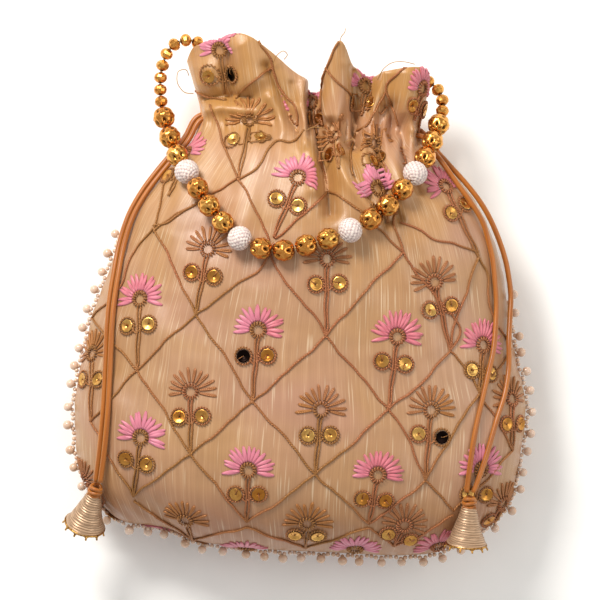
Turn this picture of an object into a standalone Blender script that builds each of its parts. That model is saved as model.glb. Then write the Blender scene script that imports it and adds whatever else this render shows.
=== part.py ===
"""Potli bag: a drawstring pouch with a beaded handle, lying on its back.

The front faces +Z and the mouth points along +Y.  The back panel is flat on Z = 0.
Lengths in this file are in millimetres and become metres in scaled().
"""
import math

import bmesh
import bpy
from mathutils import Matrix, Vector

MM = 0.001
CLOTH = 1.0  # panel thickness with its padding and embroidery ground
LINING = 0.8
GAP = 0.3  # between pieces that touch
LINING_GAP = 0.5
SEAM_GAP = 0.5  # each panel edge stops this far from the seam plane

SEAM_Z = 26.0  # height of the side seam in the body
NECK_Z = 30.0  # height of the middle of the gathered neck
FRONT_RISE = 39.0  # front panel above the seam
BACK_DROP = 36.0  # how far the back would hang below the seam without the floor
FLOOR_BLEND = 8.0
NECK_HALF = 12.0  # half the depth of the gathered neck
HEM_HALF = 16.0  # half the depth of the mouth at the frill's hem
HEM_Z = 29.0
BOTTOM_ROUND = 46.0  # the front turns down over this length at the bottom
BODY_ROWS_ROUND, BODY_ROWS_FLAT, FRILL_ROWS = 5, 9, 4
COLUMNS = 18

# The seam in plan: from the lower left corner up, along the bottom, and up the right side.
SEAM_LEFT = [(-90, -90), (-94.8, -82), (-98.5, -74), (-100, -66), (-100.6, -56), (-100.7, -47), (-99.6, -38),
             (-97.9, -29), (-95.3, -19), (-93.5, -9), (-90, 1), (-86, 11), (-82.5, 21), (-78.5, 31),
             (-74, 40.5), (-68, 49), (-60, 57.5), (-51.5, 66), (-45.5, 73), (-42.5, 80)]
SEAM_BOTTOM = [(-90, -90), (-84, -96), (-77, -99.6), (-66, -100.8), (-57.6, -102.6), (-49.5, -106.4),
               (-40.5, -108.8), (-25, -110.5), (-8, -112), (10.5, -112.7), (27.6, -113.6), (43, -114.2),
               (58, -113.4), (66, -110.8), (78, -105.2), (88, -97.5)]
SEAM_RIGHT = [(88, -97.5), (93.2, -90), (96, -81), (98.2, -70), (100.2, -58), (100.7, -46), (99.2, -37),
              (96.8, -28.5), (95.2, -19), (93.6, -9), (92, 2), (90.5, 12), (88, 22), (84.5, 31.5), (80.5, 40),
              (75.5, 48), (69.5, 55), (62.5, 61.5), (55.5, 66.5), (52.5, 72.5)]
FRONT_HEM = [(-51.5, 106.5), (-43, 113), (-34.5, 114.7), (-27, 116.5), (-18, 113.5), (-10, 106.5), (-2, 99.5),
             (6, 95), (13, 101), (18, 107), (24, 103), (31, 99), (40, 101), (50, 102), (56.3, 98), (55.2, 86)]
BACK_HEM = [(-51.5, 106.5), (-38, 107), (-20, 100), (-4, 92), (8, 87.5), (24, 90), (40, 92), (50, 90.5), (55.2, 86)]

CORD = 2.4
CASING_ROOM = {-1: 4.5, 0: 4.9, 1: 4.9, 2: 3.6}  # lining's distance from the panel, by row from the neck
CASING_POINTS = 26

PEARL = 4.0
EDGING_POINTS = 64
EDGING_TOPS = (0.66, 0.55)  # shares of the left and right side seams that have an edging
EDGING_OUT = 2.6  # from the seam to the middle of the edging

LARGE_BEAD, SUGAR_BEAD, SMALL_BEAD = 10.0, 11.0, 6.0
LARGE_LONG, SUGAR_LONG, SMALL_LONG = 9.7, 10.5, 5.1
BEAD_SPACE = 0.4
BEAD_HOLE = 1.3
THREAD = 1.0
HANDLE_POINTS = 70

# The bead strand, from the inside of the frill's left side to the inside of its right side.
HANDLE_ROUTE = [(-30, 84, 30), (-33, 94, 29.5), (-37.5, 104, 29.5), (-42.5, 112.5, 31), (-48.2, 115.6, 33),
                (-54, 115, 34), (-58.8, 110.8, 33.5), (-61.6, 103, 33.5), (-62.2, 93.5, 34.5), (-60.8, 82.5, 38),
                (-57.5, 71.5, 43), (-53, 61.5, 49.5), (-46.8, 52, 57.4), (-41, 43, 62.3), (-35, 35.5, 65.7),
                (-28.5, 28.5, 68), (-20.5, 24, 69.4), (-12, 21.6, 70.3), (-3.5, 22.4, 70.7), (4.5, 24.6, 70.9),
                (14.5, 27.6, 70.8), (25.5, 32.3, 69.2), (35.5, 38.6, 66.4), (43, 46.4, 63.4), (49.4, 54, 58.7),
                (54.8, 62, 51.5), (58.6, 70, 45), (61.8, 78.5, 38.5), (63.6, 86, 33.5), (62.4, 92.4, 30.5),
                (57.6, 97.2, 29), (50.5, 98.5, 28.5), (42, 96, 30), (36.5, 89, 30), (34, 82, 30)]
HANDLE_MIDDLE = 179.5  # along the route, halfway between the two middle sugar beads
HALF_STRAND = "GGWGGGWGGG" + "S" * 9  # from the middle outwards: large gold, sugar, small gold

# Each free drawstring lies on the bag from its opening in the neck to its tassel.
LEFT_STRAND = [(-46, 80.6, 30.5), (-50.5, 72, 31.5), (-56.5, 64.5, 34), (-63.5, 56, 35.5), (-70, 47, 36.5),
               (-75.4, 37, 37.4), (-79.2, 25, 39.4), (-81.6, 12, 42.4), (-83.4, 0, 44.5), (-84.4, -12, 46.5),
               (-84.9, -24, 48.1), (-85.4, -36, 49.4), (-86, -48, 50.4), (-87, -60, 50), (-88.2, -71, 48.6),
               (-89.6, -80.6, 46.8)]
RIGHT_OUTER_STRAND = [(55.4, 74.4, 30), (60.5, 67, 32), (66.5, 60.2, 33), (73, 53, 33.5), (79, 45.6, 33.5),
                      (84, 37.6, 33), (87.8, 29.2, 32.5), (91, 20, 32), (92.8, 12, 31.8), (94, 2, 32),
                      (93.5, -8, 35), (92.9, -18, 38.2), (92.8, -30, 40.6), (90.8, -42, 44.2), (87.2, -53, 47.8),
                      (82.8, -68, 50.4), (79.4, -78, 52), (76.6, -85.2, 52.4)]
RIGHT_INNER_STRAND = [(55.8, 72, 33.4), (59.4, 66.2, 37.4), (64, 60, 40.2), (70, 51.4, 42), (76.4, 42.6, 41.8),
                      (81.2, 34.5, 40.6), (83.8, 26, 39.8), (85.6, 18, 40.8), (86.6, 8, 41.6), (87.2, -2, 42.2),
                      (86.8, -12, 43.9), (85.6, -23, 46.3), (83, -34, 49.2), (80.7, -44, 51.2), (78.3, -54, 52.6),
                      (76.4, -64, 53.8), (75, -74, 53.8), (73.6, -85, 52.8)]
LEFT_TASSEL = ((-90, -82, 46.5), (-0.26, -0.80, -0.50))
RIGHT_TASSEL = ((75.1, -86.6, 52.8), (-0.07, -0.97, -0.2))
TASSEL_LONG = 17.0
RING_WIRE = 1.2


def scaled(points):
    return [(x * MM, y * MM, z * MM) for x, y, z in points]


def smooth(points, steps=8):
    """A Catmull-Rom curve through the points."""
    ends = [points[0]] + list(points) + [points[-1]]
    curve = []
    for p0, p1, p2, p3 in zip(ends, ends[1:], ends[2:], ends[3:]):
        for k in range(steps):
            u = k / steps
            curve.append(tuple(0.5 * (2 * b + (c - a) * u + (2 * a - 5 * b + 4 * c - d) * u ** 2
                                      + (3 * b - a - 3 * c + d) * u ** 3)
                               for a, b, c, d in zip(p0, p1, p2, p3)))
    return curve + [tuple(points[-1])]


class Path:
    """A curve that is read by the share of its length."""

    def __init__(self, points):
        self.points = [Vector((*p, 0)[:3]) for p in smooth(points)]
        self.along = [0.0]
        for a, b in zip(self.points, self.points[1:]):
            self.along.append(self.along[-1] + (b - a).length)
        self.length = self.along[-1]

    def at(self, distance):
        distance = min(max(distance, 0.0), self.length)
        for i in range(len(self.along) - 1):
            if self.along[i + 1] >= distance:
                span = self.along[i + 1] - self.along[i]
                return self.points[i].lerp(self.points[i + 1], (distance - self.along[i]) / max(span, 1e-9))
        return self.points[-1].copy()

    def share(self, u):
        return self.at(u * self.length)

    def tangent(self, distance):
        return (self.at(distance + 0.5) - self.at(distance - 0.5)).normalized()


left, bottom, right = Path(SEAM_LEFT), Path(SEAM_BOTTOM), Path(SEAM_RIGHT)
front_hem, back_hem = Path(FRONT_HEM), Path(BACK_HEM)
NECK_LEFT, NECK_RIGHT = left.share(1), right.share(1)
CORNER_LEFT, CORNER_RIGHT = bottom.share(0), bottom.share(1)
BODY_LENGTH = (left.length + right.length) / 2


def body_plan(across, up):
    """The body in plan: a patch between the seam's three sides and the neck."""
    neck = NECK_LEFT.lerp(NECK_RIGHT, across)
    sides = left.share(up).lerp(right.share(up), across)
    ends = bottom.share(across).lerp(neck, up)
    corners = CORNER_LEFT.lerp(CORNER_RIGHT, across).lerp(neck, up)
    return sides + ends - corners


def shoulder(up):
    """1 in the body, falling to 0 at the neck like a quarter of an ellipse."""
    start = 0.56
    return 1.0 if up < start else math.sqrt(max(0.0, 1 - ((up - start) / (1 - start)) ** 2))


def round_bottom(up):
    share = min(1.0, up * BODY_LENGTH / BOTTOM_ROUND)
    return math.sqrt(max(0.0, 1 - (1 - share) ** 2))


def seam_height(up):
    blend = max(0.0, (up - 0.5) / 0.5)
    return SEAM_Z + (NECK_Z - SEAM_Z) * blend


def on_floor(z):
    """The cloth's height when the floor holds it up, with a short round turn."""
    if z >= FLOOR_BLEND:
        return z
    if z <= -FLOOR_BLEND:
        return 0.0
    return (z + FLOOR_BLEND) ** 2 / (4 * FLOOR_BLEND)


def body_point(theta, up, front):
    """A point of the outer skin; theta runs from 0 at the left seam to pi at the right."""
    place = body_plan((1 - math.cos(theta)) / 2, up)
    middle = seam_height(up)
    arch = math.sin(theta) * round_bottom(up)
    if front:
        height = middle + arch * (NECK_HALF + (FRONT_RISE - NECK_HALF) * shoulder(up))
    else:
        drop = NECK_HALF + (BACK_DROP - NECK_HALF) * shoulder(up)
        height = on_floor(middle - arch ** 0.8 * drop)
    return Vector((place.x, place.y, height))


def frill_point(theta, out, front):
    """A point of the frill; out runs from 0 at the neck to 1 at the hem."""
    across = (1 - math.cos(theta)) / 2
    neck = NECK_LEFT.lerp(NECK_RIGHT, across)
    hem = (front_hem if front else back_hem).share(across)
    place = neck.lerp(hem, out)
    side = 1 if front else -1
    depth = NECK_HALF + (HEM_HALF - NECK_HALF) * out
    flute = 2.2 * out * math.sin(theta * 7) * math.sin(theta)
    middle = NECK_Z + (HEM_Z - NECK_Z) * out
    return Vector((place.x, place.y, middle + side * depth * math.sin(theta) + flute))


def skin(front):
    """Rows of the outer skin from the bottom seam to the hem."""
    start = BOTTOM_ROUND / BODY_LENGTH
    ups = [start * (1 - math.cos(math.pi / 2 * i / BODY_ROWS_ROUND)) for i in range(BODY_ROWS_ROUND)]
    ups += [start + (1 - start) * math.sin(math.pi / 2 * i / BODY_ROWS_FLAT) for i in range(BODY_ROWS_FLAT + 1)]
    thetas = [math.pi * i / COLUMNS for i in range(COLUMNS + 1)]
    rows = [[body_point(a, up, front) for a in thetas] for up in ups]
    rows += [[frill_point(a, i / FRILL_ROWS, front) for a in thetas] for i in range(1, FRILL_ROWS + 1)]
    return rows


def material(name, colour, roughness, metallic=0.0):
    made = bpy.data.materials.new(name)
    made.use_nodes = True
    shader = made.node_tree.nodes["Principled BSDF"]
    shader.inputs["Base Color"].default_value = (*colour, 1)
    shader.inputs["Roughness"].default_value = roughness
    shader.inputs["Metallic"].default_value = metallic
    return made


def mesh_object(name, vertices, faces, slot):
    mesh = bpy.data.meshes.new(name)
    mesh.from_pydata(scaled(vertices), [], faces)
    mesh.materials.append(slot)
    made = bpy.data.objects.new(name, mesh)
    bag.objects.link(made)
    return made


def face_out(made, sign):
    """Turn the faces so that most look away from the middle of the bag."""
    work = bmesh.new()
    work.from_mesh(made.data)
    middle = Vector((0, -20 * MM, NECK_Z * MM))
    total = sum((f.calc_center_median() - middle).dot(f.normal) * f.calc_area() for f in work.faces)
    if total * sign < 0:
        bmesh.ops.reverse_faces(work, faces=work.faces)
    work.to_mesh(made.data)
    work.free()


def shell(made, thickness):
    added = made.modifiers.new("thickness", "SOLIDIFY")
    added.thickness = thickness * MM
    added.offset = -1


def panel(name, front, slot):
    """One side of the bag, from the bottom seam up to the frill's hem."""
    rows = skin(front)
    lift = SEAM_GAP if front else -SEAM_GAP
    vertices = []
    for row in rows:
        for i, p in enumerate(row):
            on_seam = row is rows[0] or i in (0, COLUMNS)
            vertices.append((p.x, p.y, p.z + (lift if on_seam else 0)))
    wide = COLUMNS + 1
    faces = [(r * wide + c, r * wide + c + 1, (r + 1) * wide + c + 1, (r + 1) * wide + c)
             for r in range(len(rows) - 1) for c in range(COLUMNS)]
    made = mesh_object(name, vertices, faces, slot)
    face_out(made, 1)
    shell(made, CLOTH)
    return made


def toward_middle(p, ends, half, inset):
    """Move a point of a neck row inwards, keeping the row an ellipse."""
    middle = (ends[0] + ends[1]) / 2
    reach = (ends[1] - ends[0]).length / 2
    flat = Vector((p.x, p.y, 0)) - Vector((middle.x, middle.y, 0))
    flat *= 1 - inset / reach
    height = middle.z + (p.z - middle.z) * (1 - inset / half)
    return Vector((middle.x + flat.x, middle.y + flat.y, height))


def lining(slot):
    """The lining is one bag, its front and back joined at the sides and bottom."""
    front, back = skin(True), skin(False)
    neck_row = BODY_ROWS_ROUND + BODY_ROWS_FLAT
    work = bmesh.new()
    loops = [[work.verts.new(p) for p in front[r] + back[r][-2:0:-1]] for r in range(1, len(front))]
    seam = [work.verts.new(p) for p in front[0]]
    loops.insert(0, seam + seam[-2:0:-1])
    for lower, upper in zip(loops, loops[1:]):
        for i in range(len(lower)):
            j = (i + 1) % len(lower)
            work.faces.new((lower[i], lower[j], upper[j], upper[i]))
    work.normal_update()
    inward = -1 if sum((f.calc_center_median() - Vector((0, -20, NECK_Z))).dot(f.normal) for f in work.faces) > 0 else 1
    moved = {}
    for r, loop in enumerate(loops):
        room = CASING_ROOM.get(r - neck_row)
        for v in loop:
            if room:
                moved[v] = toward_middle(v.co, (front[r][0], front[r][-1]), NECK_HALF, CLOTH + GAP + room)
            else:
                moved[v] = v.co + v.normal * inward * (CLOTH + LINING_GAP)
    for v, place in moved.items():
        v.co = place
    bmesh.ops.scale(work, vec=(MM, MM, MM), verts=work.verts)
    mesh = bpy.data.meshes.new("lining")
    work.to_mesh(mesh)
    work.free()
    mesh.materials.append(slot)
    made = bpy.data.objects.new("lining", mesh)
    bag.objects.link(made)
    face_out(made, 1)
    shell(made, LINING)
    return made


def tube(name, points, diameter, slot, sides_step=2):
    """A round cord or thread through the points, with closed ends."""
    curve = bpy.data.curves.new(name, "CURVE")
    curve.dimensions = "3D"
    curve.bevel_depth = diameter * MM / 2
    curve.bevel_resolution = sides_step
    curve.use_fill_caps = True
    spline = curve.splines.new("POLY")
    spline.points.add(len(points) - 1)
    for spot, p in zip(spline.points, points):
        spot.co = (p[0] * MM, p[1] * MM, p[2] * MM, 1)
    curve.materials.append(slot)
    made = bpy.data.objects.new(name, curve)
    bag.objects.link(made)
    return made


def evenly(path, count, start=0.0, end=None):
    end = path.length if end is None else end
    return [path.at(start + (end - start) * i / (count - 1)) for i in range(count)]


def edging_route():
    """A line just outside the seam, from the left shoulder round the bottom to the right shoulder."""
    tops = [EDGING_TOPS[0] * (1 - k / 24) for k in range(24)], [EDGING_TOPS[1] * k / 24 for k in range(25)]
    line = [(left.share(up), up) for up in tops[0]]
    line += [(bottom.share(k / 24), 0.0) for k in range(24)]
    line += [(right.share(up), up) for up in tops[1]]
    placed = []
    for i, (p, up) in enumerate(line):
        along = line[min(i + 1, len(line) - 1)][0] - line[max(i - 1, 0)][0]
        out = Vector((along.y, -along.x, 0)).normalized() * EDGING_OUT
        placed.append((p.x + out.x, p.y + out.y, seam_height(up)))
    return evenly(Path(placed), EDGING_POINTS)


def turned(name, profile, closed, steps, place, axis, slot):
    """A turned piece: its profile is spun about Z, then Z is laid along the axis."""
    mesh = bpy.data.meshes.new(name)
    count = len(profile)
    edges = [(i, i + 1) for i in range(count - 1)] + ([(count - 1, 0)] if closed else [])
    mesh.from_pydata([(r * MM, 0, z * MM) for r, z in profile], edges, [])
    mesh.materials.append(slot)
    made = bpy.data.objects.new(name, mesh)
    bag.objects.link(made)
    spin = made.modifiers.new("spin", "SCREW")
    spin.axis = "Z"
    spin.angle = math.tau
    spin.steps = spin.render_steps = steps
    spin.use_merge_vertices = True
    spin.merge_threshold = 0.00001
    spin.use_normal_calculate = True
    made.matrix_world = Matrix.Translation(Vector(place) * MM) @ Vector(axis).to_track_quat("Z", "Y").to_matrix().to_4x4()
    return made


def bead_profile(diameter, long, hole):
    """The round side of a bead from its upper rim to its lower rim; the hole closes it."""
    rise = math.asin(hole / (diameter / 2))
    angles = [rise + (math.pi - 2 * rise) * i / 5 for i in range(6)]
    stretch = long / diameter
    return [(diameter / 2 * math.sin(a), diameter / 2 * math.cos(a) * stretch) for a in angles]


def handle(slots):
    """The thread and its beads, counted from the middle of the strand outwards."""
    route = Path(HANDLE_ROUTE)
    sizes = {"G": (LARGE_BEAD, LARGE_LONG, 10, "large_bead", slots["gold_bead"]),
             "W": (SUGAR_BEAD, SUGAR_LONG, 10, "sugar_bead", slots["sugar_bead"]),
             "S": (SMALL_BEAD, SMALL_LONG, 8, "small_bead", slots["gold_bead"])}
    tube("handle_thread", evenly(route, HANDLE_POINTS), THREAD, slots["handle_thread"], 1)
    middle = HANDLE_MIDDLE
    for side, way in (("left", -1), ("right", 1)):
        reach, last = 0.0, None
        counts = {"G": 0, "W": 0, "S": 0}
        for kind in HALF_STRAND:
            diameter, long, steps, word, slot = sizes[kind]
            reach += long / 2 if last is None else (last + long) / 2
            reach += BEAD_SPACE / 2 if last is None else BEAD_SPACE
            last = long
            counts[kind] += 1
            where = middle + way * reach
            turned(f"{word}_{side}_{counts[kind]}", bead_profile(diameter, long, BEAD_HOLE), True, steps,
                   route.at(where), route.tangent(where), slot)


def tassel(side, top, axis, slots):
    """A wrapped cone with its collar of cord and its wire ring; top is where the cords end."""
    axis = Vector(axis).normalized()
    top = Vector(top)
    collar = [(0, 2.3), (1.6, 2.1), (3.0, 1.0), (3.2, -0.6), (2.6, -1.9), (0, -2.3)]
    turned(f"tassel_collar_{side}", collar, False, 10, top + axis * (GAP + 2.3), axis, slots["satin_cord"])
    start = top + axis * (2 * GAP + 4.6)
    half = TASSEL_LONG / 2
    cone = [(0, half), (3.2, half), (4.6, half - 4.5), (6.6, half - 10), (8.6, half - 14.5), (9.3, -half),
            (7.9, -half), (6.6, half - 12.5), (0, half - 11)]
    made = turned(f"tassel_cone_{side}", cone, False, 16, start + axis * half, -axis, slots["wound_zari"])
    made.modifiers["spin"].use_normal_flip = True
    ring_place = start + axis * (TASSEL_LONG + GAP + RING_WIRE / 2)
    wire = [(8.6 + RING_WIRE / 2 * math.cos(a), RING_WIRE / 2 * math.sin(a))
            for a in (math.tau * k / 6 for k in range(6))]
    turned(f"tassel_ring_{side}", wire, True, 16, ring_place, -axis, slots["gold_wire"])


def casing_loop(name, side, along, slot):
    """The part of a drawstring inside the casing: round the neck and back to its own side."""
    inset = CLOTH + GAP + CORD / 2 + 0.35
    down = Vector((0.08, 1, 0)).normalized() * along
    middle = (NECK_LEFT + NECK_RIGHT) / 2
    across = (NECK_RIGHT - NECK_LEFT) / 2
    reach = across.length
    across = across.normalized() * (reach - inset) * side
    opening = math.radians(14)
    points = []
    for k in range(CASING_POINTS):
        a = opening + (math.tau - 2 * opening) * k / (CASING_POINTS - 1)
        flat = middle + across * math.cos(a) + down
        points.append((flat.x, flat.y, NECK_Z + (NECK_HALF - inset) * math.sin(a)))
    tube(name, points, CORD, slot)


def beside(route, offset):
    """The route again, moved sideways within the plane it lies on."""
    moved = []
    for i, p in enumerate(route):
        a, b = Vector(route[max(i - 1, 0)]), Vector(route[min(i + 1, len(route) - 1)])
        sideways = (b - a).cross(Vector((0, 0, 1))).normalized()
        moved.append(tuple(Vector(p) + (sideways - Vector((0, 0, 0.75))).normalized() * offset))
    return moved


def strand(name, route, slot):
    path = Path(route)
    tube(name, evenly(path, max(24, round(path.length / (2.4 * CORD)))), CORD, slot)


for old in list(bpy.data.objects):
    bpy.data.objects.remove(old, do_unlink=True)
bag = bpy.data.collections.new("potli_bag")
bpy.context.scene.collection.children.link(bag)

slots = {
    "brocade": material("brocade", (0.62, 0.46, 0.29), 0.5),
    "lining_cloth": material("lining_cloth", (0.70, 0.58, 0.42), 0.7),
    "pearl": material("pearl", (0.83, 0.74, 0.66), 0.25),
    "satin_cord": material("satin_cord", (0.48, 0.24, 0.06), 0.45),
    "wound_zari": material("wound_zari", (0.60, 0.50, 0.36), 0.35, 0.6),
    "gold_wire": material("gold_wire", (0.72, 0.46, 0.16), 0.25, 1.0),
    "gold_bead": material("gold_bead", (0.70, 0.44, 0.14), 0.25, 1.0),
    "sugar_bead": material("sugar_bead", (0.86, 0.82, 0.80), 0.5),
    "handle_thread": material("handle_thread", (0.55, 0.36, 0.14), 0.6),
}

panel("front_panel", True, slots["brocade"])
panel("back_panel", False, slots["brocade"])
lining(slots["lining_cloth"])
tube("pearl_edging", edging_route(), PEARL, slots["pearl"])
casing_loop("drawstring_left_in_casing", -1, 0.8, slots["satin_cord"])
casing_loop("drawstring_right_in_casing", 1, 3.4, slots["satin_cord"])
strand("drawstring_left_strand_1", beside(LEFT_STRAND, CORD / 2 + GAP / 2), slots["satin_cord"])
strand("drawstring_left_strand_2", beside(LEFT_STRAND, -CORD / 2 - GAP / 2), slots["satin_cord"])
strand("drawstring_right_strand_1", RIGHT_OUTER_STRAND, slots["satin_cord"])
strand("drawstring_right_strand_2", RIGHT_INNER_STRAND, slots["satin_cord"])
tassel("left", *LEFT_TASSEL, slots)
tassel("right", *RIGHT_TASSEL, slots)
handle(slots)
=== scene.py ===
# %% [markdown]
# # A drawstring potli bag with a beaded handle
# The bag is two embroidered cloth panels over a lining, gathered at the neck by two drawstrings and edged with
# pearls. It lies on its back. Everything is built in metres in the frame's own axes: X across the bag, Y from
# the bottom seam to the mouth, Z up out of the front. Lengths are typed in millimetres, as a maker would write
# them on a pattern, and multiplied by MM where a mesh is made.

import math

import bpy
import numpy as np
from mathutils import Matrix, Vector
from mathutils.bvhtree import BVHTree


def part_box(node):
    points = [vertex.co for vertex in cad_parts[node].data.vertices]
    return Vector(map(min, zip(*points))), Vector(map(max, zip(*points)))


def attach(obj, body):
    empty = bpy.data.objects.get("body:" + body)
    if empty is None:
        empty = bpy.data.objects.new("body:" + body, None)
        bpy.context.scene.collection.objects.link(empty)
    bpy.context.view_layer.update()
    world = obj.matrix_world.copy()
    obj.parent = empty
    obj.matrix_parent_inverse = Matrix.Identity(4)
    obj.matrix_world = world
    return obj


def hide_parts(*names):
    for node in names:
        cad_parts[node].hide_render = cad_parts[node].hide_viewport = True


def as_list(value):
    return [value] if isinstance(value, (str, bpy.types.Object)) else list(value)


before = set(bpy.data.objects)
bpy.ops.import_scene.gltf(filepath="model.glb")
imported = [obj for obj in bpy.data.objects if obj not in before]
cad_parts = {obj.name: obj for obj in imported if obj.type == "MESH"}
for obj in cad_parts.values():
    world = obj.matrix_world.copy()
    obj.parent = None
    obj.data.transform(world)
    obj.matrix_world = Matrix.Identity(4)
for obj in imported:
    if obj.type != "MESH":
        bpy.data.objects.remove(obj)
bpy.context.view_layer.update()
MM = 0.001

# %% [markdown]
# ## Camera, light and floor
# The bag is looked at from straight above its front, so the camera hangs over it with a long lens, which keeps
# the sides from flaring. The light is soft: one large panel from the upper left, a weaker one from the right
# and a pale sky, so folds are read by gentle shading.

# %% Camera
EYE_HEIGHT, PLANE_HEIGHT, VIEW_WIDTH = 2.4, 0.040, 600 * 0.4444 * MM
eye = bpy.data.cameras.new("eye")
eye.sensor_width = 36.0
eye.lens = 36.0 * (EYE_HEIGHT - PLANE_HEIGHT) / VIEW_WIDTH
eye_stand = bpy.data.objects.new("eye", eye)
eye_stand.location = (0, 0, EYE_HEIGHT)
bpy.context.scene.collection.objects.link(eye_stand)
bpy.context.scene.camera = eye_stand
print("lens", round(eye.lens, 1), "mm")

# %% Lights and sky
def soft_panel(name, place, aim, size, power, colour):
    lamp = bpy.data.lights.new(name, "AREA")
    lamp.shape = "DISK"
    lamp.size = size
    lamp.energy = power
    lamp.color = colour
    stand = bpy.data.objects.new(name, lamp)
    stand.location = place
    stand.rotation_euler = (Vector(aim) - Vector(place)).to_track_quat("-Z", "Y").to_euler()
    bpy.context.scene.collection.objects.link(stand)


soft_panel("key_panel", (-0.42, 0.72, 0.80), (0, 0.02, 0.03), 0.42, 13.5, (1.0, 0.97, 0.92))
soft_panel("fill_panel", (0.9, 0.1, 0.8), (0, 0, 0.03), 0.8, 3.4, (1.0, 0.96, 0.90))
sky = bpy.data.worlds.new("sky")
bpy.context.scene.world = sky
sky.use_nodes = True
sky.node_tree.nodes["Background"].inputs["Color"].default_value = (1.0, 0.985, 0.96, 1)
sky.node_tree.nodes["Background"].inputs["Strength"].default_value = 0.58
bpy.context.scene.view_settings.view_transform = "Standard"

# %% [markdown]
# ## Helpers for lines and meshes
# A given row of points becomes a smooth line with a Catmull-Rom curve, and the line is then read by the
# share of its length. Meshes are made from whole arrays of points, which is quick even for thousands of stitches.

# %% Smooth lines
def smooth(points, steps=10):
    """A Catmull-Rom curve through the points."""
    p = np.array(points, float)
    p = np.vstack([p[:1], p, p[-1:]])
    u = (np.arange(steps) / steps)[:, None]
    parts = []
    for a, b, c, d in zip(p, p[1:], p[2:], p[3:]):
        parts.append(0.5 * (2 * b + (c - a) * u + (2 * a - 5 * b + 4 * c - d) * u ** 2
                            + (3 * b - a - 3 * c + d) * u ** 3))
    return np.vstack(parts + [p[-1:]])


def lengths(line):
    return np.concatenate([[0], np.cumsum(np.linalg.norm(np.diff(line, axis=0), axis=1))])


def at_share(line, share):
    """Points at these shares of the line's length."""
    along = lengths(line)
    return np.stack([np.interp(np.asarray(share) * along[-1], along, line[:, k])
                     for k in range(line.shape[1])], axis=-1)


def spaced(line, step):
    count = max(2, int(round(lengths(line)[-1] / step)) + 1)
    return at_share(line, np.linspace(0, 1, count))


# %% Meshes from arrays
def mesh_piece(name, points, quads, material, uv=None, smooth_shade=True, depth=None):
    """A mesh object from points in millimetres; quads may repeat a corner to make a triangle.
    depth, from 0 to 1 for each point, says how deep in a hollow it lies; the finishes paint shade into the hollows from
    it, and the black sequins take their own black from it."""
    mesh = bpy.data.meshes.new(name)
    quads = np.asarray(quads, int)
    faces = [tuple(dict.fromkeys(q)) for q in quads.tolist()]
    mesh.from_pydata((np.asarray(points) * MM).tolist(), [], faces)
    if uv is not None:
        layer = mesh.uv_layers.new(name="flat")
        corner = np.zeros(len(mesh.loops), int)
        mesh.loops.foreach_get("vertex_index", corner)
        layer.data.foreach_set("uv", (np.asarray(uv)[corner] * MM).ravel())
    if depth is not None:
        mesh.attributes.new("depth", "FLOAT", "POINT").data.foreach_set("value", np.asarray(depth, float))
    mesh.polygons.foreach_set("use_smooth", np.full(len(mesh.polygons), smooth_shade))
    mesh.materials.append(material)
    mesh.update()
    piece = bpy.data.objects.new(name, mesh)
    bpy.context.scene.collection.objects.link(piece)
    return piece


def grid_quads(rows, columns, wrap=False):
    """Faces of a grid of points; wrap joins the last column to the first."""
    r, c = np.meshgrid(np.arange(rows - 1), np.arange(columns if wrap else columns - 1), indexing="ij")
    n = (c + 1) % columns
    return np.stack([r * columns + c, r * columns + n, (r + 1) * columns + n, (r + 1) * columns + c], -1).reshape(-1, 4)


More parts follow.
